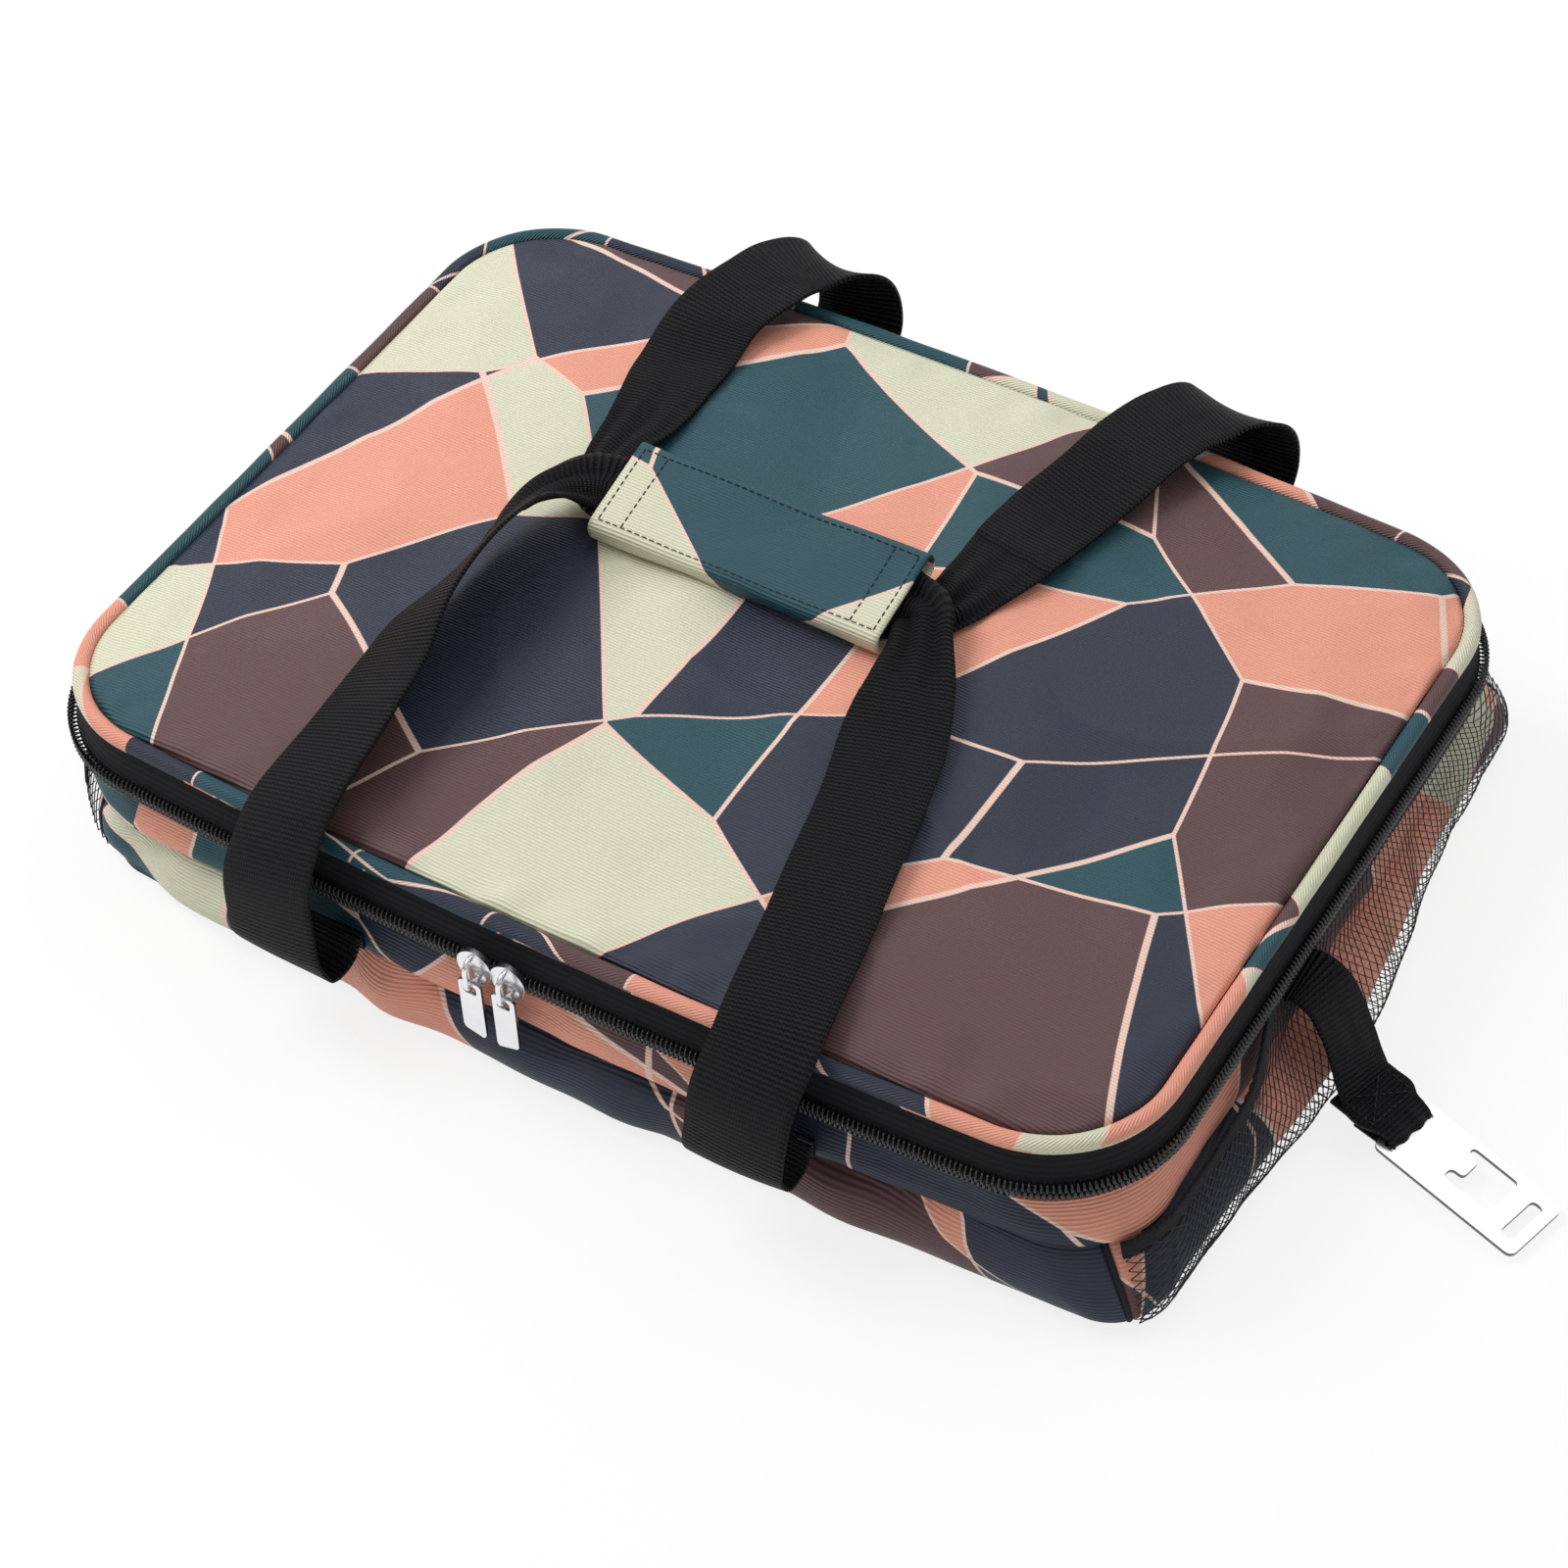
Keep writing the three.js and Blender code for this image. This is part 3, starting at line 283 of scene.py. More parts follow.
def smooth_row(points, steps):
    """A smooth line through the chosen points: each stretch is a cubic whose ends take slopes
    per length from both neighbours."""
    points = np.array(points, float)
    size = points.shape[1]
    gaps = np.linalg.norm(np.diff(points[:, :min(size, 3)], axis=0), axis=1)[:, None]
    slopes = np.diff(points, axis=0) / gaps
    inner = (slopes[1:] * gaps[:-1] + slopes[:-1] * gaps[1:]) / (gaps[:-1] + gaps[1:])
    tangent = np.concatenate([slopes[:1], inner, slopes[-1:]])
    t = (np.arange(steps) / steps)[None, :, None]
    a, b = points[:-1, None], points[1:, None]
    m, n = tangent[:-1, None] * gaps[:, None], tangent[1:, None] * gaps[:, None]
    line = ((2 * t ** 3 - 3 * t ** 2 + 1) * a + (t ** 3 - 2 * t ** 2 + t) * m
            + (3 * t ** 2 - 2 * t ** 3) * b + (t ** 3 - t ** 2) * n)
    return np.concatenate([line.reshape(-1, size), points[-1:]])


def uneven(points, length, seed):
    """Smooth seeded unevenness from about -1 to 1: sine waves of many directions whose lengths
    lie round the one given."""
    dice = np.random.default_rng(seed)
    total = 0
    for _ in range(18):
        way = dice.normal(size=3)
        way /= np.linalg.norm(way) * length * dice.uniform(0.7, 1.6)
        total = total + np.sin(2 * math.pi * (points @ way + dice.uniform()))
    return total / 4.5


def surface(name, points, faces, finish):
    """A smooth-shaded piece from an array of points and one of four-cornered faces."""
    mesh = bpy.data.meshes.new(name)
    mesh.vertices.add(points.size // 3)
    mesh.vertices.foreach_set("co", points.reshape(-1).astype(np.float32))
    mesh.loops.add(faces.size)
    mesh.loops.foreach_set("vertex_index", faces.reshape(-1).astype(np.int32))
    mesh.polygons.add(len(faces))
    mesh.polygons.foreach_set("loop_start", np.arange(0, faces.size, 4, dtype=np.int32))
    mesh.update(calc_edges=True)
    mesh.polygons.foreach_set("use_smooth", np.ones(len(faces), bool))
    mesh.materials.append(finish)
    made = bpy.data.objects.new(name, mesh)
    bpy.context.collection.objects.link(made)
    return made


def skin(name, points, uv, finish, wrap_rows=False, wrap_columns=False, thickness=None, merge=None):
    """A piece from a grid of points (rows, columns, 3) and its cloth coordinates in metres
    (rows, columns, 2), which are one longer where the grid closes on itself. Doubled points are
    merged, and cloth gets its thickness half to each side."""
    rows, columns = points.shape[:2]
    r = np.arange(rows if wrap_rows else rows - 1)[:, None]
    c = np.arange(columns if wrap_columns else columns - 1)[None, :]
    corners = [(r, c), (r, c + 1), (r + 1, c + 1), (r + 1, c)]
    faces = np.stack([(a % rows) * columns + b % columns for a, b in corners], axis=-1).reshape(-1, 4)
    loops = np.stack([uv[a, b] for a, b in corners], axis=-2).reshape(-1, 2)
    made = surface(name, points, faces, finish)
    cloth = made.data.uv_layers.new(name="cloth")
    cloth.data.foreach_set("uv", loops.reshape(-1).astype(np.float32))
    if merge:
        shape = bmesh.new()
        shape.from_mesh(made.data)
        bmesh.ops.remove_doubles(shape, verts=shape.verts, dist=merge)
        shape.to_mesh(made.data)
        shape.free()
    if thickness:
        wall = made.modifiers.new("cloth", "SOLIDIFY")
        wall.thickness, wall.offset = thickness, 0
        settle(made)
    return made


def settle(made):
    """Applies the modifiers of a piece to its mesh."""
    done = bpy.data.meshes.new_from_object(made.evaluated_get(bpy.context.evaluated_depsgraph_get()))
    made.modifiers.clear()
    made.data = done
    return made


def grid(rows, columns):
    """Two arrays that hold each point's row value and column value."""
    return np.meshgrid(rows, columns, indexing="ij")


PRINT_COLOURS = [(0.0, (0.015, 0.070, 0.092)), (0.25, (0.021, 0.028, 0.052)),
                 (0.45, (0.112, 0.056, 0.058)), (0.65, (0.80, 0.34, 0.24)),
                 (0.82, (0.67, 0.67, 0.50))]
PRINT_LINE = (0.86, 0.60, 0.50)
RIB_PITCH = 0.0013


def print_finish():
    """The bag's cloth: ribbed polyester with a soft coating, printed with slim shards in five
    colours. Each shard is where two nets of straight-edged cells cross, with a pale line round
    it, and a slow wander bends the edges a little."""
    cloth = Finish("printed_cloth")
    place = cloth.place("UV")
    wander = cloth.node("TexNoise", {}, {"Vector": place, "Scale": 4.0, "Detail": 0.0}, output="Color",
                        vector=True)
    bent = place + (wander - 0.5) * 0.045

    def cells(size, stretch, turn, shift):
        """A net of cells about size metres long, stretched, turned and shifted: a number from 0
        to 1 for each cell, and the distance from its edge."""
        spot = cloth.node("Mapping", {"vector_type": "TEXTURE"}, {
            "Vector": bent, "Location": shift, "Rotation": (0, 0, turn),
            "Scale": (size, size / stretch, 1)}, vector=True)
        colour = cloth.node("TexVoronoi", {"voronoi_dimensions": "2D"}, {"Vector": spot, "Scale": 1.0},
                            output="Color", vector=True)
        edge = cloth.node("TexVoronoi", {"voronoi_dimensions": "2D", "feature": "DISTANCE_TO_EDGE"},
                          {"Vector": spot, "Scale": 1.0}, output="Distance")
        return colour.part(0), edge * (size / stretch ** 0.5)

    first, first_edge = cells(0.185, 2.2, 0.62, (5.0, 2.44, 0))
    second, second_edge = cells(0.190, 1.7, 2.15, (7.92, 0.58, 0))
    lot = (first + second * 2.0).math("FRACT")
    ink = cloth.node("ValToRGB", {"blend": "CONSTANT", "stops": PRINT_COLOURS}, {"Fac": lot}, vector=True)
    edge = first_edge.math("MINIMUM", second_edge)
    ink = cloth.mix(1 - edge.step(0.0007, 0.0011), ink, PRINT_LINE)
    across = place.part(1)
    rib = (across * (2 * math.pi / RIB_PITCH)).sine()
    weave = cloth.noise(place, 2600.0, 1.0)
    # The ribs and the weave are lighter where they stand high and darker where they sink: painted light
    # and shade over the print's own colours.
    shade = 0.90 + rib * 0.12 + weave * 0.16
    ink = ink * cloth.node("CombineXYZ", {}, {0: shade, 1: shade, 2: shade}, vector=True)
    height = rib * 0.5 + weave * 0.35
    rough = 0.44 + cloth.noise(place, 60.0) * 0.12
    return cloth.principled({"Base Color": ink, "Roughness": rough, "Specular IOR Level": 0.34,
                             "Coat Weight": 0.04, "Coat Roughness": 0.35,
                             "Normal": cloth.bump(height, 0.0003, 0.9)})


PRINTED = print_finish()


def film_finish():
    """The lining: silver-grey film with fine creases that shine a little."""
    film = Finish("lining_film")
    place = film.place()
    crease = film.noise(place, 90.0, 5.0, 0.7)
    fine = film.noise(place, 900.0, 2.0)
    # The colour lightens along the creases: their shine is painted.
    colour = film.mix(crease.step(0.35, 0.7), (0.50, 0.52, 0.54), (0.66, 0.68, 0.70))
    return film.principled({"Base Color": colour, "Roughness": 0.28 + crease * 0.2, "Metallic": 0.35,
                            "Normal": film.bump(crease + fine * 0.1, 0.0012, 0.5)})


def pored_finish(name, scale, low, high, inside, outside, rough, distance, strength):
    """A matt material of small cells: the distance from each cell's middle takes the colour from
    one to the other, by a smooth step, and raises the surface."""
    pored = Finish(name)
    pores = pored.node("TexVoronoi", {}, {"Vector": pored.place(), "Scale": scale}, output="Distance")
    return pored.principled({"Base Color": pored.mix(pores.step(low, high), inside, outside),
                             "Roughness": rough, "Normal": pored.bump(pores, distance, strength)})


def grained_finish(name, scale, detail, dark, light, rough, spread, distance):
    """A plain material with a fine grain: one noise takes the colour from dark to light, adds its
    spread to the roughness and raises the surface."""
    grained = Finish(name)
    grain = grained.noise(grained.place(), scale, detail)
    return grained.principled({"Base Color": grained.mix(grain, dark, light),
                               "Roughness": rough + grain * spread,
                               "Normal": grained.bump(grain, distance, 0.5)})


FILM = film_finish()
# Closed-cell foam is off-white with fine pores, and the board is dark pressed plastic.
FOAM = pored_finish("foam", 700.0, 0.1, 0.6, (0.62, 0.62, 0.60), (0.80, 0.80, 0.78), 0.9, 0.0004, 0.6)
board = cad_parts["base_board"]
board.data.materials.clear()
board.data.materials.append(grained_finish("board", 400.0, 3.0, (0.012, 0.012, 0.013), (0.03, 0.03, 0.032),
                                           0.6, 0.2, 0.0003))
SLAB_SHARE = np.concatenate([np.linspace(0, 0.12, 8, endpoint=False), np.linspace(0.12, 1, 22)])


def slab(name, shape, inset, low, high, finish, q):
    """A flat slab inside an outline: an under face and an upper face, each a grid from the edge
    to the middle line with its own height function of x, y and the share of the way in."""
    share = np.concatenate([SLAB_SHARE[::-1], SLAB_SHARE])
    share, column = grid(share, q)
    x, y = rounded(shape, -inset - share * (shape[1] / 2 - inset), column)
    flat = np.stack([x, y, 0 * x], axis=-1)
    half = len(SLAB_SHARE)
    z = np.concatenate([low(flat, share)[:half], high(flat, share)[half:]])
    points = np.stack([x, y, z], axis=-1)
    uv = np.concatenate([points, points[:, :1]], axis=1)[..., :2]
    return skin(name, points, uv, finish, wrap_columns=True, merge=POLE_MERGE)


def level(height, swell=0.0, length=0.05, seed=0):
    """A height function: level at the edge, gently uneven inside it."""
    return lambda flat, share: height + swell * np.minimum(share / 0.12, 1) * uneven(flat, length, seed)


def stands_for(node):
    """Hides the CAD solid that a piece stands in for."""
    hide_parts(node)


ALL_ROUND = around(0, 8, 0.006)[:-1]
base_cloth = slab("base_cloth", BASE_SHAPE, -0.0008, level(0.0), level(0.0014), PRINTED, ALL_ROUND)
base_film = slab("base_film", BASE_SHAPE, 0.007, level(0.0103), level(0.0111, 0.0002, 0.05, 2), FILM,
                 ALL_ROUND)
base_pad = slab("base_pad", BASE_SHAPE, 0.0072, level(0.0051), level(0.0099), FOAM, ALL_ROUND)
for piece, node, slot in ((base_cloth, "base_cover", "printed_cloth"), (base_film, "base_liner", "lining"),
                          (base_pad, "base_foam", "foam")):
    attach(piece, "base")
    stands_for(node)


# Walls: four printed panels sewn at the corners, folded inwards once below the rim.
# Foam and the welded lining lie behind the cloth, and everything stands up again when the rim is
# lifted. The cloth that then comes out lies in the narrow zone behind the rim's band.
WALL_LINE = [(0.0002, 0.0346), (-0.004, 0.0295), (-0.012, 0.026), (-0.004, 0.0225), (0.0039, 0.019),
             (0.0065, 0.012), (0.0049, 0.0054), (0.0016, 0.00226)]
WALL_SMOOTH = [(0.0002, 0.0346), (-0.0026, 0.0295), (0.0002, 0.026), (0.0026, 0.0225), (0.0044, 0.019),
               (0.0062, 0.012), (0.0050, 0.0054), (0.0018, 0.00226)]
WALL_FOAM_LINE = [(-0.0099, 0.0335), (-0.01755, 0.026), (-0.012, 0.0186), (-0.009, 0.0128)]
WALL_FILM_LINE = [(-0.0120, 0.0345), (-0.0206, 0.0262), (-0.0148, 0.0176), (-0.0115, 0.0117)]
SPARE_LOW, SPARE_HIGH, RISE = 0.030, 0.0326, 0.2
WALL_LEVEL, PRINT_SHIFT = 0.03, 0.18
WALL_MERGE, FLOOR_GAP = 0.00001, 0.0012
BULGE_FOOT, BULGE_HEIGHT = 0.0023, 0.0297


def ease(t):
    """A smooth rise from 0 to 1: t * t * (3 - 2 t), with t held between 0 and 1."""
    t = np.clip(t, 0, 1)
    return t * t * (3 - 2 * t)


def lifted(z):
    """The share of the rim's rise that a height takes, eased through the zone of the spare cloth."""
    return ease((z - SPARE_LOW) / (SPARE_HIGH - SPARE_LOW))


def stand_up(made):
    """Bakes a piece's placement into its mesh points."""
    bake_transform(made)


def spare_rows(line, steps):
    """A smooth profile with eight times as many rows in its first stretch, which has the spare
    cloth, and each row's share of the way down."""
    fine = smooth_row(line, 8 * steps)
    fine = np.column_stack([fine, np.linspace(0, 1, len(fine))])
    rows = np.concatenate([fine[:8 * steps], fine[8 * steps::8]])
    return rows[:, :2], rows[:, 2:]


def both_faces(out, z, q, half):
    """A layer's inner face from its top down and its outer face back up. They lie apart along the
    ground only, so layers never cross as the rim rises."""
    return np.concatenate([bag_wall(out - half, z, q), bag_wall(out + half, z, q)[::-1]])


def both_ways(u, v):
    """The cloth coordinates of both faces, with the first row again at the end."""
    uv = np.stack(np.broadcast_arrays(u, v), axis=-1)
    return np.concatenate([uv, uv[::-1], uv[:1]])


def length_round(q):
    """Length round the bag at the wall's level, from the first value of q, which also shifts the
    print so that neighbouring panels don't match."""
    return along(bag_wall(0 * q, 0 * q + WALL_LEVEL, q)) + q[0] * PRINT_SHIFT


def fold_depth(q):
    """How deep the wall is folded in, from 0 to 1: eased in from each corner, later along the
    left of the front, and times a slow sine wave."""
    part, share = np.floor(q).astype(int) % 8, q - np.floor(q)
    edge = np.where(part % 2, 0, ease(np.minimum(share, 1 - share) / 0.22))
    left = np.where(part == 0, ease((share - 0.22) / 0.4), 1)
    return edge * left * (0.82 + 0.18 * np.sin(9 * q))


def end_bulge(points, amount):
    """How far an end wall or its pocket swells out: a bell curve along the wall times the sine
    of the height's square root, so that it swells most near the floor."""
    up = np.clip((points[..., 2] - BULGE_FOOT) / BULGE_HEIGHT, 0, 1)
    swell = amount * np.exp(-((points[..., 1] + 0.022) / 0.075) ** 2) * np.sin(math.pi * np.sqrt(up))
    return np.sign(points[..., 0]) * swell


def folded_wall(q, seed):
    """A printed wall: the folded profile where the fold is deep and the smooth one elsewhere,
    with upright soft folds, finer crumples and dents that show once the wall stands up. It is
    slacker along the left of the front and calmer behind the nets, and its thickness ends at its
    side seams."""
    (folded, share), (smooth, _) = spare_rows(WALL_LINE, 7), spare_rows(WALL_SMOOTH, 7)
    depth = fold_depth(q)[None, :]
    out = smooth[:, :1] + (folded[:, :1] - smooth[:, :1]) * depth
    z = smooth[:, 1:] + (folded[:, 1:] - smooth[:, 1:]) * depth
    q = np.broadcast_to(q, out.shape)
    rough = bag_wall(out, z, q)
    calm = 1 - 0.65 * np.clip((np.abs(rough[..., 0]) - 0.185) / 0.03, 0, 1)
    middle = np.sin(np.pi * share) ** 0.7 * calm
    slack = np.clip((-0.03 - rough[..., 0]) / 0.07, 0, 1) * (rough[..., 1] < 0)
    out = out + middle * (0.0034 * uneven(rough * (1, 1, 0.35), 0.075, seed)
                          + 0.0014 * uneven(rough * (1, 1, 0.6), 0.03, seed + 1)
                          + 0.0026 * slack * uneven(rough * (1, 1, 0.25), 0.036, seed + 4))
    z = np.maximum(z + middle * 0.0009 * uneven(rough, 0.045, seed + 2), FLOOR_GAP)
    rise = lifted(z)
    standing = rough + np.stack([0 * rise, 0 * rise, RISE * rise], axis=-1)
    out = out - 0.0045 * rise * (1 - rise) * (1 + uneven(standing * (1, 1, 0.6), 0.075, seed + 3))
    half = np.full(q.shape[1], CLOTH_THICK / 2)
    half[[0, -1]] = 0
    points = both_faces(out, z, q, half)
    points[..., 0] += end_bulge(points, 0.0095) * np.isin(np.floor(q[0]) % 8, (2, 6))
    return points, both_ways(length_round(q[0]), along(smooth)[:, None] - RISE * rise)


seam_lines = []
for number, panel in enumerate(("front", "right", "back", "left")):
    points, uv = folded_wall(around(2 * number - 0.5, 2 * number + 1.5, 0.004), 40)
    half_way = len(points) // 2
    seam_lines.append(points[:half_way, 0])
    wall = skin(f"{panel}_wall", points, uv, PRINTED, wrap_rows=True, merge=WALL_MERGE)
    stand_up(wall)
    stands_for(f"wall_{panel}")
    uv[0, -1, 0] - uv[0, 0, 0]


def all_round(name, profile, finish, thickness, crease=0.0, seed=0, height_from=0.0, q=ALL_ROUND):
    """A layer whose profile of (out, height) points goes all round the bag. Its crumple is stronger
    in its middle rows, and its cloth coordinates are the lengths round the bag and down."""
    profile, share = profile
    out, column = grid(profile[:, 0], q)
    z = np.broadcast_to(profile[:, 1:], out.shape)
    if crease:
        rough, share = bag_wall(out, z, column), np.sin(np.pi * share)
        out = out + share * crease * (uneven(rough, 0.05, seed) + 0.6 * uneven(rough, 0.02, seed + 1))
        z = np.maximum(z + share * crease * 0.5 * uneven(rough, 0.04, seed + 2), FLOOR_GAP)
    points = both_faces(out, z, column, thickness / 2)
    u = length_round(q)
    uv = both_ways(np.append(u, u[-1] + 0.006), along(profile)[:, None] + height_from)
    made = skin(name, points, uv, finish, wrap_rows=True, wrap_columns=True)
    return made


wall_pad = all_round("wall_pad", spare_rows(WALL_FOAM_LINE, 4), FOAM, 0.004)
stand_up(wall_pad)
stands_for("wall_foam")
wall_film = all_round("wall_film", spare_rows(WALL_FILM_LINE, 5), FILM, FILM_THICK, 0.0005, 50)
stand_up(wall_film)
stands_for("wall_liner")


# Rim: the printed band below the zip, its foam and its lining.
# The band is cut from the same cloth, turned under at its hem and sewn to the zip tape. It laps
# over the folded walls and carries the handles.
def even_rows(line, steps):
    """A smooth profile and each row's share of the way down."""
    rows = smooth_row(line, steps)
    return rows, np.linspace(0, 1, len(rows))[:, None]


BAND_LINE = [(-0.0025, 0.045), (-0.0004, 0.0401), (0.0019, 0.0345), (0.0015, 0.0311), (-0.0006, 0.0296)]
band = all_round("band", even_rows(BAND_LINE, 7), PRINTED, CLOTH_THICK, 0.0011, 60, 0.07,
                 around(0, 8, 0.004)[:-1])
RIM_FILM_LINE = [(-0.0095, 0.0549), (-0.0095, 0.045), (-0.0095, 0.0346)]
rim_film = all_round("rim_film", even_rows(RIM_FILM_LINE, 5), FILM, FILM_THICK, 0.0004, 65)
RIM_PAD_LINE = [(-0.0068, 0.0548), (-0.0068, 0.045), (-0.0068, 0.0347)]
rim_pad = all_round("rim_pad", even_rows(RIM_PAD_LINE, 3), FOAM, 0.0038)
for piece, node, slot in ((band, "rim_band", "printed_cloth"), (rim_film, "rim_liner", "lining"),
                          (rim_pad, "rim_foam", "foam")):
    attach(piece, "rim")
    stands_for(node)


# Lid: printed cover, foam and lining inside a round piping.
# The cover is crowned over foam and puckers a little along its seam. The piping is a cord in a
# strip of the same cloth, sewn between the cover and the zip tape.
PIPING, PIPING_RADIUS, PIPING_LEVEL = 0.007, 0.0032, 0.073
LID_EDGE, COVER_SINK = PIPING + 0.0001, 0.0007
lid_q = around(0, 8, 0.0032)[:-1]
lid_share = np.concatenate([np.linspace(0, 0.16, 12, endpoint=False), np.linspace(0.16, 1, 44)])
CROWN = np.array([(0, 0.0), (0.012, 0.22), (0.05, 0.4), (0.12, 0.54), (0.3, 0.77), (0.6, 0.94), (1, 1)])


def lid_height(x, y, share):
    """The cover's height: a steep rise off the seam that flattens into the crown, puckers that
    fade away from the seam, long soft folds and small dents."""
    flat = np.stack([x, y, np.zeros_like(x)], axis=-1)
    z = 0.0745 + 0.0062 * np.interp(share, CROWN[:, 0], CROWN[:, 1])
    near = np.exp(-share / 0.10) * np.minimum(share / 0.02, 1)
    inner = np.minimum(share / 0.18, 1) ** 1.5
    z = z + 0.0010 * near * uneven(flat, 0.018, 71) + 0.0014 * near * uneven(flat, 0.04, 72)
    z = z + 0.0013 * inner * uneven(flat, 0.12, 73) + 0.0009 * inner * uneven(flat, 0.055, 74)
    fold = 1 - np.abs(uneven(flat * (0.55, 1.3, 1), 0.11, 75))
    return z + 0.0014 * inner * np.clip(fold, 0, 1) ** 3


share, column = grid(lid_share, lid_q)
x, y = rounded(LID_SHAPE, -LID_EDGE - share * (LID_SHAPE[1] / 2 - LID_EDGE), column)
points = np.stack([x, y, lid_height(x, y, share) - COVER_SINK], axis=-1)
uv = np.concatenate([points, points[:, :1]], axis=1)[..., :2]
cover = skin("lid_cloth", points, uv, PRINTED, wrap_columns=True, thickness=CLOTH_THICK, merge=POLE_MERGE)

turn, column = grid(np.arange(12) * math.pi / 6, lid_q)
radius = PIPING_RADIUS * (1 + 0.03 * uneven(bag_wall(turn * 0, turn * 0 + 0.07, column), 0.03, 76))
points = bag_wall(-PIPING / 2 + radius * np.cos(turn), PIPING_LEVEL + radius * np.sin(turn), column)
length = along(points[0])
round_way, long_way = grid(np.arange(13) * 0.0018, np.append(length, length[-1] + 0.0032))
uv = np.stack([long_way + 0.7 * round_way + 0.31, round_way - 0.7 * long_way], axis=-1)
piping = skin("piping", points, uv, PRINTED, wrap_rows=True, wrap_columns=True)

lid_pad = slab("lid_pad", LID_SHAPE, PIPING + 0.0012, level(0.0668),
               lambda flat, share: lid_height(flat[..., 0], flat[..., 1], share) - 0.0022, FOAM, ALL_ROUND)
lid_film = slab("lid_film", LID_SHAPE, PIPING + 0.0003, level(0.0654, -0.0002, 0.05, 77),
                level(0.0662), FILM, ALL_ROUND)
for piece, node, slot in ((cover, "lid_cover", "printed_cloth"), (piping, "lid_piping", "printed_cloth"),
                          (lid_pad, "lid_foam", "foam"), (lid_film, "lid_liner", "lining")):
    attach(piece, "lid")
    stands_for(node)


# Zip: two woven tapes with a shiny coil each, round the front, both ends and all corners.
# The tapes are herringbone polyester. Each coil is a row of small wire loops that lock into
# the other coil's, and a third tape along the back is the lid's hinge.
ZIP_LINE = 0.0552
TAPE_OUT = 0.0006
ZIP_START, ZIP_END = -3.0, 4.0


def tape_finish(name, colour, wale):
    """Woven tape: herringbone ribs in columns along its length. Columns lie wale metres apart."""
    cloth = Finish(name)
    place = cloth.place("UV")
    length, height = place.part(0), place.part(1)
    side = ((height / wale).math("FRACT") - 0.5).math("ABSOLUTE") * wale * 2.0
    rib = ((length + side) * (2 * math.pi / 0.0011)).sine()
    column = (height * (2 * math.pi / wale)).math("COSINE")
    fuzz = cloth.noise(place, 3000.0)
    weave = rib * 0.5 + column * 0.4 + fuzz * 0.4
    # The colour is lighter where the weave stands high: painted highlight on the herringbone.
    light = cloth.mix(weave.step(-0.7, 1.0), colour, tuple(3.4 * c + 0.004 for c in colour))
    return cloth.principled({"Base Color": light, "Roughness": 0.72 + fuzz * 0.1,
                             "Sheen Weight": 0.03, "Specular IOR Level": 0.2,
                             "Normal": cloth.bump(weave, 0.0003, 0.8)})


TAPE = tape_finish("zip_tape", (0.0035, 0.0036, 0.0050), 0.0024)


def coil_finish():
    """The zip's coil: shiny black nylon wire."""
    coil = Finish("zip_coil")
    place = coil.place()
    wear = coil.noise(place, 500.0)
    colour = coil.mix(wear, (0.006, 0.006, 0.007), (0.014, 0.014, 0.016))
    return coil.principled({"Base Color": colour, "Roughness": 0.2 + wear * 0.14,
                            "Specular IOR Level": 0.65})


COIL = coil_finish()


def tape(name, line, steps, q, thickness):
    """A tape: a profile of (out, height) points along part of the way round."""
    profile = smooth_row(line, steps)
    out, column = grid(profile[:, 0], q)
    points = bag_wall(out, np.broadcast_to(profile[:, 1:], out.shape), column)
    uv = np.stack(np.broadcast_arrays(length_round(q), along(profile)[:, None]), axis=-1)
    made = skin(name, points, uv, TAPE, thickness=thickness)
    return made


LOWER_TAPE_LINE = [(-0.0042, 0.0404), (-0.0038, 0.0450), (-0.0006, 0.0505), (TAPE_OUT, 0.0547)]
UPPER_TAPE_LINE = [(TAPE_OUT, 0.0557), (-0.0012, 0.0620), (-0.0046, 0.0705)]
HINGE_LINE = [(-0.0027, 0.0456), (-0.0030, 0.0574), (-0.0027, 0.0692)]
for name, line, body in (("lower", LOWER_TAPE_LINE, "rim"), ("upper", UPPER_TAPE_LINE, "lid")):
    made = tape(f"{name}_tape", line, 4, around(ZIP_START, ZIP_END, 0.004), 0.0009)
    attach(made, body)
    stands_for(f"{name}_zip_tape")
hinge = tape("hinge_strip", HINGE_LINE, 6, around(ZIP_END, ZIP_START + 8, 0.005), 0.001)
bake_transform(hinge)
stands_for("lid_hinge_strip")


def tubes(name, lines, radii, finish, sides=4):
    """Tubes along equally long lines of points (lines, points, 3), with one flat-sided section
    of the given radius round each point. Rows of four-cornered faces close both ends."""
    lines = np.asarray(lines, float)
    count, long = lines.shape[:2]
    way = np.gradient(lines, axis=1)
    way /= np.linalg.norm(way, axis=2, keepdims=True) + 1e-12
    helper = np.zeros_like(way)
    flat = np.abs(way[..., 2:]) < 0.8
    helper[..., 2:] = flat
    helper[..., :1] = ~flat
    one = np.cross(way, helper)
    one /= np.linalg.norm(one, axis=2, keepdims=True)
    two = np.cross(way, one)
    turn = np.arange(sides) * 2 * math.pi / sides
    radii = np.broadcast_to(radii, (count, long))[..., None, None]
    ring = lines[:, :, None] + radii * (one[:, :, None] * np.cos(turn)[:, None]
                                        + two[:, :, None] * np.sin(turn)[:, None])
    i, j, k = np.meshgrid(np.arange(count), np.arange(long - 1), np.arange(sides), indexing="ij")
    here, after = (i * long + j) * sides, (k + 1) % sides
    side_faces = np.stack([here + k, here + after, here + sides + after, here + sides + k], axis=-1)
    row = np.array([(-m, m + 1, m + 2, -m - 1) for m in range(sides // 2 - 1)]) % sides
    first = (np.arange(count) * long * sides)[:, None, None]
    parts = (side_faces, first + row[:, ::-1], first + (long - 1) * sides + row)
    return surface(name, ring, np.concatenate([part.reshape(-1, 4) for part in parts]), finish)


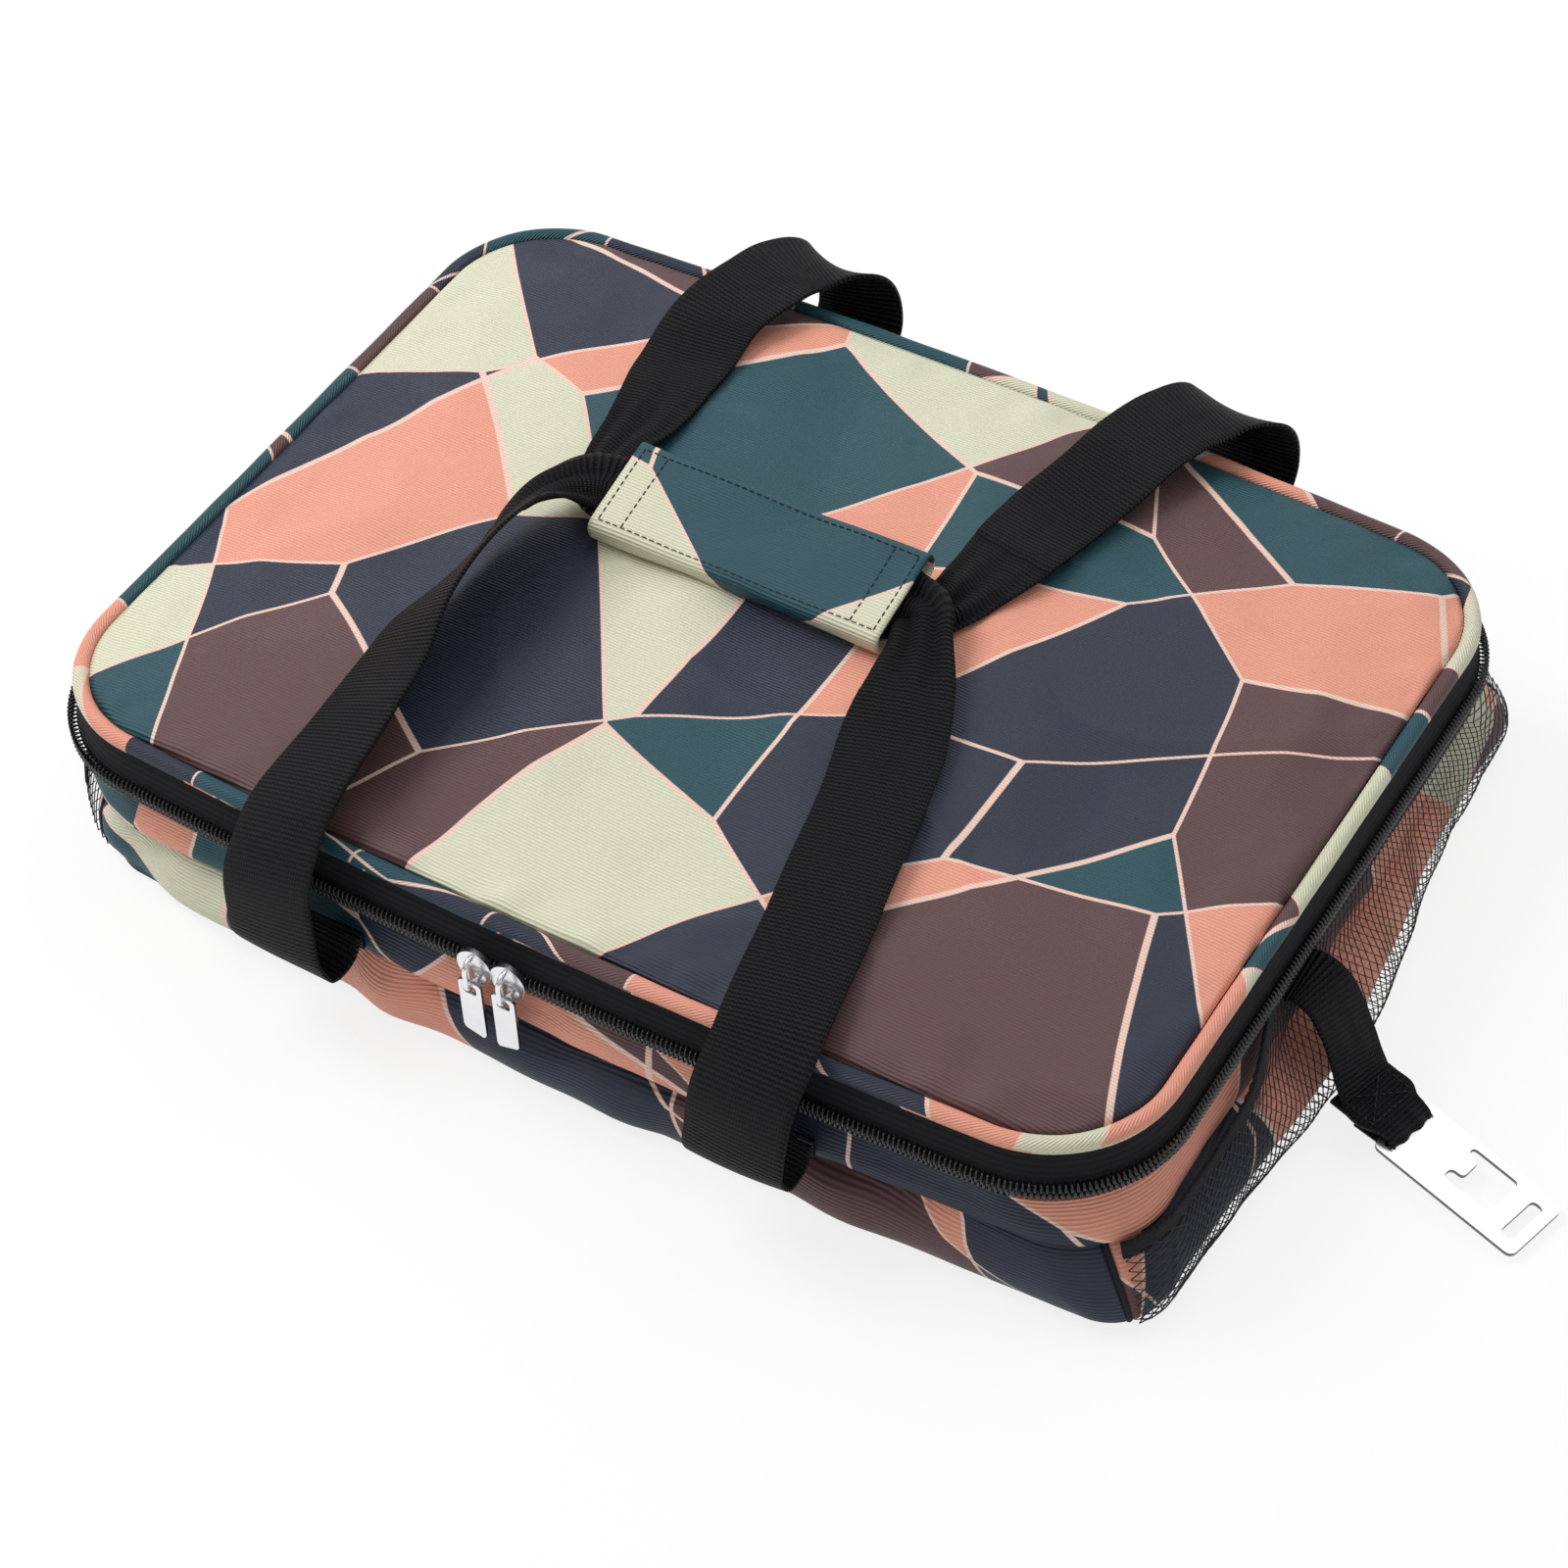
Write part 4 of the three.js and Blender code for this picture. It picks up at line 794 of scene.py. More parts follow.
COIL_PITCH = 0.0019
COIL_LOOP = np.array([(0.0012, 0.0035, 0.0005), (0.0030, 0.0032, 0.00062), (0.0038, 0.0016, 0.00072),
                      (0.0035, -0.0004, 0.00088), (0.0018, -0.0007, 0.0006)])


def coil_row(name, side, shift):
    """One coil: a row of loops, each a bent line of (out, height, wire radius) from the tape's
    edge over the front to the zip's middle line, with its head thicker than its legs."""
    q = np.linspace(ZIP_START + 0.02, ZIP_END - 0.02, 6000)
    length = along(bag_wall(0 * q, 0 * q + ZIP_LINE, q))
    column, out = grid(np.interp(np.arange(shift, length[-1], COIL_PITCH), length, q), COIL_LOOP[:, 0])
    z = ZIP_LINE + side * np.broadcast_to(COIL_LOOP[:, 1], out.shape)
    return tubes(name, bag_wall(out, z, column), COIL_LOOP[:, 2], COIL)


for name, side, shift, body in (("upper", 1, 0.0, "lid"), ("lower", -1, COIL_PITCH / 2, "rim")):
    made = coil_row(f"{name}_coil", side, shift)
    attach(made, body)
    stands_for(f"{name}_zip_coil")


# Sliders and pulls: bright nickel die-castings.
# The body is a leaf-shaped plate over the coil with a bent bail on it. The pull is a flat bar
# with a slanted end, and a slot at its top that the bail goes through.
def metal_finish(name, colour, rough, scratch):
    """Plated or polished metal with a soft waviness and fine scratches along one way."""
    metal = Finish(name)
    place = metal.place()
    wave = metal.noise(place, 160.0)
    stretched = metal.node("Mapping", {}, {"Vector": place, "Scale": (900.0, 5200.0, 900.0)}, vector=True)
    lines = metal.noise(stretched, 1.0, 1.0)
    tint = metal.mix(wave, tuple(c * 0.9 for c in colour), colour)
    return metal.principled({"Base Color": tint, "Metallic": 1.0, "Roughness": rough + lines * scratch,
                             "Normal": metal.bump(wave + lines * 0.02, 0.0002, 0.4)})


NICKEL = metal_finish("nickel", (0.88, 0.88, 0.90), 0.12, 0.12)
# A darker copy of the nickel for the cut edges: painted shade.
NICKEL_PAINTED_SHADE = metal_finish("nickel_painted_shade_edge", (0.30, 0.30, 0.32), 0.22, 0.12)


def outline_plate(name, outer, holes, thickness, finish, edge, bevel, place):
    """A flat plate: its outline with holes, filled, given a thickness and rounded edges, then
    moved to its place. Its cut edges take the second finish, a darker copy of the metal that is painted
    shade."""
    shape = bmesh.new()
    edges = []
    for ring in [outer, *holes]:
        corners = [shape.verts.new((x, y, -thickness / 2)) for x, y in ring]
        edges += [shape.edges.new((a, b)) for a, b in zip(corners, corners[1:] + corners[:1])]
    bmesh.ops.triangle_fill(shape, use_beauty=True, use_dissolve=False, edges=edges)
    bmesh.ops.recalc_face_normals(shape, faces=shape.faces)
    raised = bmesh.ops.extrude_face_region(shape, geom=shape.faces[:])
    up = [g for g in raised["geom"] if isinstance(g, bmesh.types.BMVert)]
    bmesh.ops.translate(shape, vec=(0, 0, thickness), verts=up)
    bmesh.ops.recalc_face_normals(shape, faces=shape.faces)
    mesh = bpy.data.meshes.new(name)
    shape.to_mesh(mesh)
    shape.free()
    mesh.materials.append(finish)
    made = bpy.data.objects.new(name, mesh)
    bpy.context.collection.objects.link(made)
    soft = made.modifiers.new("edges", "BEVEL")
    soft.width, soft.segments, soft.limit_method, soft.angle_limit = bevel, 3, "ANGLE", 0.8
    soft.harden_normals = True
    mesh.polygons.foreach_set("use_smooth", np.ones(len(mesh.polygons), bool))
    mesh.materials.append(edge)
    settle(made)
    normals = np.zeros(len(made.data.polygons) * 3)
    made.data.polygons.foreach_get("normal", normals)
    # Steep faces take the second, darker finish: painted shade on the cut edges.
    made.data.polygons.foreach_set("material_index", (np.abs(normals[2::3]) < 0.6).astype(np.int32))
    made.data.transform(place)
    return made


def round_box(length, width, corner, cx=0.0, cy=0.0, steps=6):
    """Points of a rounded rectangle, anticlockwise: a quarter circle at each corner."""
    turn = np.linspace(0, math.pi / 2, steps)
    ring = []
    for number, (sx, sy) in enumerate(((1, 1), (-1, 1), (-1, -1), (1, -1))):
        for a in turn + number * math.pi / 2:
            ring.append((cx + sx * (length / 2 - corner) + corner * math.cos(a),
                         cy + sy * (width / 2 - corner) + corner * math.sin(a)))
    return ring


def zip_face(x, out, z):
    """The y of the bag's front at a place along it, at a height and so far out from the wall."""
    q = np.linspace(0, 1, 400)
    line = bag_wall(np.full_like(q, out), np.full_like(q, z), q)
    return float(np.interp(x, line[:, 0], line[:, 1]))


UPRIGHT = ((1, 0, 0), (0, 0, 1), (0, -1, 0))
LEAF_HALF_WIDTH, LEAF_HALF_HEIGHT, LEAF_THICK = 0.0071, 0.0088, 0.0022
BAIL_LINE = ((0.0009, -0.0064), (0.0052, -0.0063), (0.0070, -0.0050), (0.0073, 0.0005),
             (0.0071, 0.0041), (0.0055, 0.0063), (0.0009, 0.0068))
BAIL_RADIUS, BAIL_SIDES = 0.0011, 10
PULL_TOP, PULL_FOOT, PULL_HALF, PULL_THICK = 0.0520, 0.0235, 0.0048, 0.0016
PULL_OUTLINE = [(PULL_HALF - 0.0012, PULL_TOP), (PULL_HALF, PULL_TOP - 0.0012),
                (PULL_HALF - 0.0001, PULL_FOOT + 0.0036), (PULL_HALF - 0.0007, PULL_FOOT + 0.0022),
                (-PULL_HALF + 0.0014, PULL_FOOT), (-PULL_HALF + 0.0003, PULL_FOOT + 0.0008),
                (-PULL_HALF, PULL_FOOT + 0.002), (-PULL_HALF, PULL_TOP - 0.0012),
                (-PULL_HALF + 0.0012, PULL_TOP)]


def slider_and_pull(side, x, outline):
    """A slider over both coils and the pull that hangs from its bail. The body's half width is a
    cosine raised to 1.3, a little wider above, and its half height a sine."""
    face = zip_face(x, 0.0039, ZIP_LINE)
    leaf = []
    for a in np.linspace(0, 2 * math.pi, 36, endpoint=False):
        across, up = math.cos(a), math.sin(a)
        across = math.copysign(abs(across) ** 1.3, across) * (1 + 0.14 * up)
        leaf.append((LEAF_HALF_WIDTH * across, LEAF_HALF_HEIGHT * up))
    body = outline_plate(f"slider_{side}_body", leaf, [], LEAF_THICK, NICKEL, NICKEL_PAINTED_SHADE, 0.0009,
                         place_matrix(UPRIGHT, (x, face - 0.0010, ZIP_LINE)))
    bail_line = smooth_row([(x, face - out, ZIP_LINE + up) for out, up in BAIL_LINE], 5)
    bail = tubes(f"slider_{side}_bail", [bail_line], BAIL_RADIUS, NICKEL, BAIL_SIDES)
    eye = round_box(0.0052, 0.0044, 0.0012, 0, PULL_TOP - 0.0040)
    pull = outline_plate(f"pull_{side}_plate", outline, [eye], PULL_THICK, NICKEL, NICKEL_PAINTED_SHADE, 0.00035,
                         place_matrix(UPRIGHT, (x, face - 0.0052, 0)))
    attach(body, f"{side}_slider")
    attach(bail, f"{side}_slider")
    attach(pull, f"{side}_pull")
    stands_for(f"slider_{side}")
    stands_for(f"pull_{side}")


slider_and_pull("left", -0.018, [(-across, up) for across, up in PULL_OUTLINE[::-1]])
slider_and_pull("right", -0.004, PULL_OUTLINE)


# Handles: two straps of 38 mm webbing that meet inside the cuff on top of the lid.
# Each end goes down over the zip and is sewn with its patch to the band. Inside the cuff
# the straps are bunched to three quarters of their width.
STRAP_WIDTH, WEBBING_THICK = 0.038, 0.0015
LID_TOP, ANCHOR_LEVEL, BAND_FACE = 0.08101, 0.03807, 0.1701
WEFT_PITCH, WARP_PITCH = 0.0018, 0.0011


def webbing_finish():
    """Ribbed polyester webbing: black, with a weft rib every 1.8 mm, fine warp threads along it
    and a soft shine on the ribs."""
    web = Finish("webbing")
    place = web.place("UV")
    length, across = place.part(0), place.part(1)
    rib = (length * (2 * math.pi / WEFT_PITCH)).sine()
    offset = (across * (math.pi / WARP_PITCH)).sine().math("SIGN") * 0.25
    warp = (across * (2 * math.pi / WARP_PITCH)).math("COSINE")
    woven = ((length / WEFT_PITCH + offset) * (2 * math.pi)).sine()
    fuzz = web.noise(place, 2500.0, 3.0)
    height = rib * 0.6 + woven * 0.2 + warp * 0.15 + fuzz * 0.4
    # The colour lightens where the weave stands high: the ribs' shine is a painted highlight.
    colour = web.mix(height.step(-0.4, 1.2), (0.0004, 0.0004, 0.0006), (0.0125, 0.0125, 0.0165))
    return web.principled({"Base Color": colour, "Roughness": 0.5 + fuzz * 0.2,
                           "Specular IOR Level": 0.2, "Normal": web.bump(height, 0.0008, 1.0)})


WEBBING = webbing_finish()
# Each row below is a place along, across and above, in thousandths of the lid's length (across the
# lid, of its width), then turn and lift in degrees and the share of the webbing's full width.
ROW_UNIT, ROW_UNIT_ACROSS = 0.00045, 0.000326
FRONT_LEFT_HANGS = [(-195.6, 6.4, 6.5, 0, 0, 1), (-195.6, 15.3, -7.9, 0, 0, 1),
                    (-197.8, 35.3, -12.4, 0, 0, 1), (-202.2, 48.7, 6.5, 0, 0, 1),
                    (-206.7, 48.7, 37.6, 0, 5, 1), (-213.3, 37.6, 71, 0, 10, 1)]
FRONT_LEFT_LIES = [(-220, -515.3, 4.4, 0, 15, 1), (-222.2, -450.9, 15.5, 0, 20, 1),
                   (-224.4, -371.2, 24.4, 0, 26, 1), (-228.9, -288.3, 31.1, 0, 32, 1),
                   (-233.3, -208.6, 40, 0, 45, 1), (-231.1, -135, 44.4, 0, 56, 1),
                   (-226.7, -61.3, 44.4, -12, 52, 0.95), (-226.7, -9.2, 38.9, -35, 34, 0.75),
                   (-217.8, 36.8, 31.1, -60, 8, 0.6), (-197.8, 66.3, 24.9, -86, -12, 0.7)]
FRONT_RIGHT_LIES = [(106.7, 66.3, 25.1, -93, -13, 0.64), (122.2, 32.5, 22.6, -135, -6, 0.6),
                    (135.6, -15.3, 17.8, -155, 0, 0.8), (148.9, -79.8, 12.2, -154, 0, 1),
                    (168.9, -177.9, 10, -152, 0, 1), (184.4, -279.1, 8.9, -158, 0, 1),
                    (197.8, -365, 7.8, -165, 0, 1), (208.9, -447.9, 5.5, -171, 0, 1),
                    (217.8, -515.3, 0, -174, 0, 1)]
FRONT_RIGHT_HANGS = [(220, 35.3, 71, -176, 0, 1), (220, 48.7, 35.4, -178, 0, 1),
                     (217.8, 48.7, 6.5, -178, 0, 1), (217.8, 35.3, -12.4, -178, 0, 1),
                     (217.8, 15.3, -11.3, -180, 0, 1), (217.8, 6.4, 6.5, -180, 0, 1)]
BACK_LEFT_HANGS = [(-162.2, 6.4, 6.5, 0, 0, 1), (-162.2, 19.8, 24.3, 0, 0, 1),
                   (-162.2, 35.3, 51, 0, 0, 1), (-171.1, 39.8, 82.1, -4, 0, 1)]
BACK_LEFT_LIES = [(-188.9, 560.1, 6.6, -10, 0, 1), (-211.1, 520.2, 15.5, -16, 0, 1),
                  (-222.2, 465, 15.5, -20, 0, 1), (-233.3, 397.5, 11.1, -16, 0, 1),
                  (-228.9, 302.5, 7.8, -6, 0, 0.95), (-220, 201.2, 10, 14, 0, 0.75),
                  (-220, 142.9, 13.3, 38, 8, 0.6), (-213.3, 100, 16.4, 62, 12, 0.55),
                  (-195.6, 73.9, 19.1, 86, 14, 0.65)]
BACK_RIGHT_LIES = [(104.4, 73.9, 18.2, 93, 13, 0.6), (120, 106.1, 16.4, 118, 10, 0.55),
                   (126.7, 155.2, 13.3, 140, 4, 0.7), (133.3, 213.5, 11.1, 155, 0, 0.9),
                   (142.2, 293.3, 11.1, 165, 0, 1), (157.8, 373, 15.5, 168, 0, 1),
                   (168.9, 440.5, 20, 170, 0, 1), (184.4, 498.8, 20, 172, 0, 1),
                   (204.4, 544.8, 13.3, 175, 0, 1)]
BACK_RIGHT_HANGS = [(222.2, 36.7, 86.5, 178, 0, 1), (226.7, 37.6, 53.2, 180, 0, 1),
                    (226.7, 19.8, 24.3, 180, 0, 1), (226.7, 6.4, 6.5, 180, 0, 1)]
CUFF_LENGTH, CUFF_LEAN = 0.124, math.radians(14)
CUFF_MIDDLE = np.array((-0.02, 0.0226, 0.09207))


def handle_rows(groups, layer, side):
    """Rows of x, y, z, turn, lift and share of the width, from the anchors over the lid's edge
    to the straight run inside the cuff and down again."""
    left_hangs, left_lies, right_lies, right_hangs = (np.array(g, float) for g in groups)
    for hangs in (left_hangs, right_hangs):
        hangs[:, :3] *= ROW_UNIT
        hangs[:, 1] = side * (BAND_FACE + hangs[:, 1])
        hangs[:, 2] += ANCHOR_LEVEL
    for lies in (left_lies, right_lies):
        lies[:, :3] *= (ROW_UNIT, ROW_UNIT_ACROSS, ROW_UNIT)
        lies[:, 2] += LID_TOP
    y = CUFF_MIDDLE[1] - layer * math.sin(CUFF_LEAN)
    z = CUFF_MIDDLE[2] + layer * math.cos(CUFF_LEAN)
    run = [(CUFF_MIDDLE[0] + way * CUFF_LENGTH, y, z, side * 90, side * 14, share)
           for way, share in ((-0.484, 0.76), (-0.387, 0.8), (0.387, 0.8), (0.484, 0.76))]
    return np.concatenate([left_hangs, left_lies, run, right_lies, right_hangs])


def webbing(name, rows, width, seed, cup=0.0008, steps=14):
    """A band of webbing along smooth rows, and its length. Across, it cups like a parabola and
    ripples like a cosine where it is bunched, and along it the edges wander by a hair."""
    line = smooth_row(rows, steps)
    centre = line[:, :3]
    way = np.gradient(centre, axis=0)
    way /= np.linalg.norm(way, axis=1, keepdims=True)
    turn, lift = np.radians(line[:, 3]), np.radians(line[:, 4])
    side = np.stack([np.cos(turn) * np.cos(lift), np.sin(turn) * np.cos(lift), np.sin(lift)], axis=1)
    side -= way * (side * way).sum(axis=1, keepdims=True)
    side /= np.linalg.norm(side, axis=1, keepdims=True)
    up = np.cross(side, way)
    place = np.linspace(-1, 1, 13)
    share = line[:, 5:6]
    half = width * share / 2
    lift = cup * (1 - place ** 2) + (1 - share) * width * 0.10 * np.cos(place * 2.5 * math.pi)
    points = centre[:, None] + side[:, None] * (half * place)[..., None] + up[:, None] * lift[..., None]
    wave = 0.0007 * uneven(centre, 0.045, seed) * (line[:, 5] > 0.9)
    points = points + up[:, None] * wave[:, None, None]
    length = along(centre)
    uv = np.stack(grid(length, place * width / 2 + 0.02), axis=-1)
    return skin(name, points, uv, WEBBING, thickness=WEBBING_THICK), length[-1]


front_rows = (FRONT_LEFT_HANGS, FRONT_LEFT_LIES, FRONT_RIGHT_LIES, FRONT_RIGHT_HANGS), -0.00035, -1
back_rows = (BACK_LEFT_HANGS, BACK_LEFT_LIES, BACK_RIGHT_LIES, BACK_RIGHT_HANGS), -0.00225, 1
for name, rows, seed, sewn, free in (("front", front_rows, 81, (0, -0.19, 0.035), (0, -0.17, 0.075)),
                                     ("back", back_rows, 82, (0, 0.188, 0.045), (0, 0.172, 0.082))):
    strap, length = webbing(f"{name}_webbing", handle_rows(*rows), STRAP_WIDTH, seed)
    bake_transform(strap)
    stands_for(f"{name}_strap")

PATCH_LEVELS = (0.0338, 0.0366, 0.0395, 0.0424)
for strap, side, end, x in (("front", -1, "left", -0.088), ("front", -1, "right", 0.098),
                            ("back", 1, "left", -0.073), ("back", 1, "right", 0.102)):
    rows = [(x, side * 0.1706, z, 90 + side * 90, 0, 1) for z in PATCH_LEVELS]
    patch = webbing(f"{strap}_sewn_{end}_patch", rows, STRAP_WIDTH, 84, cup=0.0003, steps=3)[0]
    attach(patch, "rim")
    stands_for(f"{strap}_strap_{end}_patch")


# Cuff: a printed sleeve round both straps, closed by hook and loop.
# It is a doubled rectangle of the bag's cloth with black topstitching round its edge and a
# stitched box at both ends.
half_length, half_width, half_thick = CUFF_LENGTH / 2, 0.0205, 0.00485
CUFF_CLOTH = 0.0014
THREAD = grained_finish("thread", 2500.0, 2.0, (0.004, 0.004, 0.005), (0.02, 0.02, 0.023), 0.55, 0.2,
                        0.0002)


def cuff_place(x, y, z):
    """Points of the cuff's own frame, leaned and moved to its place."""
    cos, sin = math.cos(CUFF_LEAN), math.sin(CUFF_LEAN)
    points = np.stack(np.broadcast_arrays(x, y * cos - z * sin, y * sin + z * cos), axis=-1)
    return points + CUFF_MIDDLE


def cuff_sag(x):
    """How far the cuff's faces sag at a place along it: a cosine, deepest in its middle."""
    return 0.0005 * np.cos(x / half_length * math.pi / 2)


def cuff_swell(points):
    """The cuff's unevenness, which fades near its ends with the eighth power of the place."""
    return 0.0005 * uneven(points, 0.03, 91) * (1 - (np.abs(points[..., 0]) / half_length) ** 8)


CUFF_ROWS, CUFF_COLUMNS = 60, 72
ring = np.array(round_box(2 * half_width, 2 * half_thick, 0.0032, steps=7))
ring = np.concatenate([ring, ring[:1]])
ring_length = along(ring)
ring_girth = ring_length[-1]
ring_places = np.linspace(0, ring_girth, CUFF_COLUMNS + 1)
x, places = grid(np.linspace(-half_length, half_length, CUFF_ROWS), ring_places[:-1])
y, z = np.interp(places, ring_length, ring[:, 0]), np.interp(places, ring_length, ring[:, 1])
top = np.clip(z / half_thick, -1, 1)
swell = cuff_swell(np.stack([x, y, z], axis=-1)) * np.sign(top)
cuff_points = cuff_place(x, y * (1 - 0.02 * np.cos(x * 40)), z - cuff_sag(x) * top + swell)
uv = np.stack(grid(np.linspace(0, CUFF_LENGTH, CUFF_ROWS) + 0.43, ring_places + 0.2), axis=-1)
cuff = skin("cuff", cuff_points, uv, PRINTED, wrap_columns=True, thickness=CUFF_CLOTH)
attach(cuff, "back_handle")
stands_for("cuff_sleeve")


def stitch_row(points, normal, pitch=0.0032):
    """Short threads along a line, each one sunk at both ends and proud in its middle, like half a
    sine wave."""
    stitch = pitch * 0.68
    length = along(points)
    starts = np.arange(0, length[-1] - stitch, pitch)
    t = np.linspace(0, 1, 5)
    at = starts[:, None] + t[None, :] * stitch
    line = np.stack([np.interp(at, length, points[:, k]) for k in range(3)], axis=-1)
    rise = 0.000364 * np.sin(math.pi * t) - 0.000124
    return line + np.asarray(normal) * rise[None, :, None]


cuff_up = np.array((0, -math.sin(CUFF_LEAN), math.cos(CUFF_LEAN)))


def on_cuff(corners):
    """Stitches along straight runs between corner points on the cuff's top face."""
    runs = []
    for (x0, y0), (x1, y1) in zip(corners, corners[1:]):
        t = np.linspace(0, 1, 40)
        px, py = x0 + (x1 - x0) * t, y0 + (y1 - y0) * t
        face = np.stack([px, py, np.full_like(px, half_thick)], axis=-1)
        height = half_thick + CUFF_CLOTH / 2 - cuff_sag(px) + cuff_swell(face)
        runs.append(stitch_row(cuff_place(px, py, height), cuff_up))
    return np.concatenate(runs)


edge_x, edge_y, box_x = half_length - 0.003, half_width - 0.0032, half_length - 0.013
stitches = np.concatenate([
    on_cuff([(-edge_x, -edge_y), (edge_x, -edge_y), (edge_x, edge_y), (-edge_x, edge_y),
             (-edge_x, -edge_y)]),
    on_cuff([(-box_x, -edge_y), (-box_x, edge_y)]), on_cuff([(box_x, -edge_y), (box_x, edge_y)])])
cuff_thread = tubes("cuff_thread", stitches, 0.00028, THREAD)
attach(cuff_thread, "back_handle")


# The hook and loop strips have a dense black pile.
for name, layer, scale in (("loop", 0.00259, 1300.0), ("hook", 0.00126, 900.0)):
    pile = pored_finish(f"{name}_pile", scale, 0.0, 0.6, (0.03, 0.03, 0.034), (0.005, 0.005, 0.006),
                        0.85, 0.0006, 0.9)
    x, y = grid(np.linspace(-0.053, 0.053, 30), np.linspace(-0.005, 0.013, 7))
    strip = skin(f"{name}_strip", cuff_place(x, y, layer + 0.0001 * np.sin(x * 150)),
                 np.stack([x, y], axis=-1), pile, thickness=0.001)
    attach(strip, "back_handle")
    stands_for(f"cuff_{name}_strip")


# Pockets: a black net on both ends with an elastic along its mouth.
# The net is knitted from slightly shiny polyester thread, with diamond cells. It is sewn on at
# its foot and its sides, and hangs open at the top, where the elastic gathers it.
NET = grained_finish("net_thread", 1800.0, 2.0, (0.004, 0.004, 0.005), (0.018, 0.018, 0.021), 0.42, 0.15,
                     0.0003)
NET_Z = (0.0023, 0.0054, 0.012, 0.022, 0.032, 0.0345, 0.040, 0.045, 0.048)
NET_OUT = (0.0036, 0.0076, 0.0090, 0.0076, 0.0050, 0.0044, 0.0022, 0.0004, 0.0002)
NET_FOOT, NET_FIXED, NET_FREE = 0.0023, 0.005, 0.0265
NET_CELLS, NET_ROWS = 40, 10
ELASTIC_WIDTH = 0.0075


def mouth_height(y):
    """The height of the pocket's mouth: low near the front, eased up to just under the zip tape."""
    return 0.0295 + 0.0155 * ease((y + 0.118) / 0.07)


def pocket_points(side, across, height):
    """Points of a pocket: across runs from -1 to 1 along the end wall, height from 0 to 1 from
    the foot to the mouth. The net hangs out most near the floor, where the tab lies on it, and
    its mouth sags out near the front."""
    run = np.linspace(-0.93, 0.93, 900)
    run = 2.5 + run if side > 0 else 6.5 - run
    length = along(bag_wall(0 * run, 0 * run + 0.01, run))
    q = np.interp((across + 1) / 2 * length[-1], length, run)
    flat = bag_wall(0 * q, 0 * q + 0.02, q)
    y = flat[..., 1]
    z = NET_FOOT + height * (mouth_height(y) - NET_FOOT)
    out = np.interp(z, NET_Z, NET_OUT)
    points = bag_wall(out, z, q)
    sag = 0.005 * np.exp(-((y + 0.082) / 0.022) ** 2) * height ** 2
    crumple = 0.0013 * np.sin(math.pi * np.clip(height, 0, 1)) * uneven(points, 0.024, 95 + side)
    points[..., 0] += end_bulge(points, 0.014) + side * (sag + crumple * (1 - across ** 8))
    return points


def net_threads(side):
    """Two families of zigzag threads whose corners meet their neighbours', so that they enclose
    upright diamonds about 3.6 mm wide and 4 mm high."""
    corners = np.arange(NET_CELLS * 4 + 1)
    lines = []
    for row in range(NET_ROWS):
        for flip in (0, 1):
            zig = np.abs((corners / 2 + flip) % 2 - 1) - 0.5
            height = (row + 0.5 + zig * 0.97) / NET_ROWS
            lines.append(pocket_points(side, np.linspace(-1, 1, len(corners)), height))
    return lines


for side, label in ((-1, "left"), (1, "right")):
    net = tubes(f"net_{label}", net_threads(side), 0.00025, NET)
    t, rise = grid(np.linspace(-1, 1, 160), np.linspace(0, 1, 5))
    edge = pocket_points(side, t, np.ones_like(t))
    edge[..., 2] += (rise - 0.4) * ELASTIC_WIDTH
    edge[..., 0] += side * (0.0003 + 0.0003 * np.sin(t * 260) - 0.0012 * rise)
    uv = np.stack([t * 0.15, rise * ELASTIC_WIDTH], axis=-1)
    elastic = skin(f"elastic_{label}", edge, uv, TAPE, thickness=0.0014)
    for piece in (net, elastic):
        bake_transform(piece)
    stands_for(f"pocket_net_{label}")
    stands_for(f"pocket_elastic_{label}")


# Corner seams: the upright seams that join the four walls.
# Each is bound in narrow black tape, which shows as a thin cord from the floor to the rim.
corner_seams = tubes("corner_seams", seam_lines, 0.0011, TAPE, 8)
stand_up(corner_seams)


# Side tab: 25 mm webbing from the right end of the rim, looped round the opener's bar.
# It hangs over the pocket to the floor, and its end is sewn back on itself with a box.
TAB_WIDTH = 0.025
TAB_ROWS = [(0.6, -26, 43, 90, 0, 1), (6, -26, 43.2, 90, 0, 1), (13, -27.5, 41, 87, 0, 1),
            (20.5, -30.5, 35, 83, 0, 0.96), (27, -33.5, 27.5, 80, 0, 0.94),
            (32.5, -36.5, 19.5, 77, 0, 0.96)]
opener_turn, opener_dip = math.radians(-15), math.radians(5)
opener_across = np.array((-math.sin(opener_turn), math.cos(opener_turn), 0))
opener_along = np.array((math.cos(opener_turn) * math.cos(opener_dip),
                         math.sin(opener_turn) * math.cos(opener_dip), -math.sin(opener_dip)))
opener_up = np.cross(opener_along, opener_across)
OPENER_BAR_PLACE = np.array((0.276, -0.042, 0.008))
BAR, PLATE_THICK = 0.0024, 0.0018
clear = math.hypot(BAR, PLATE_THICK) / 2 + 0.0015
shoulder, slot_x = 0.0023, 0.0037
loop = [(-0.014, clear, 1), (-0.007, clear, 1), (-0.0025, clear, 0.84), (0, clear, 0.78),
        (shoulder, clear, 0.78), (slot_x, 0.00064, 0.78), (slot_x, -0.00064, 0.78),
        (shoulder, -clear, 0.78), (0, -clear, 0.78), (-0.012, -clear, 0.82)]


def on_plate(x, y, z):
    """Points of the opener's frame, whose origin is the middle of its bar."""
    return (OPENER_BAR_PLACE + np.asarray(x)[..., None] * opener_along
            + np.asarray(y)[..., None] * opener_across + np.asarray(z)[..., None] * opener_up)


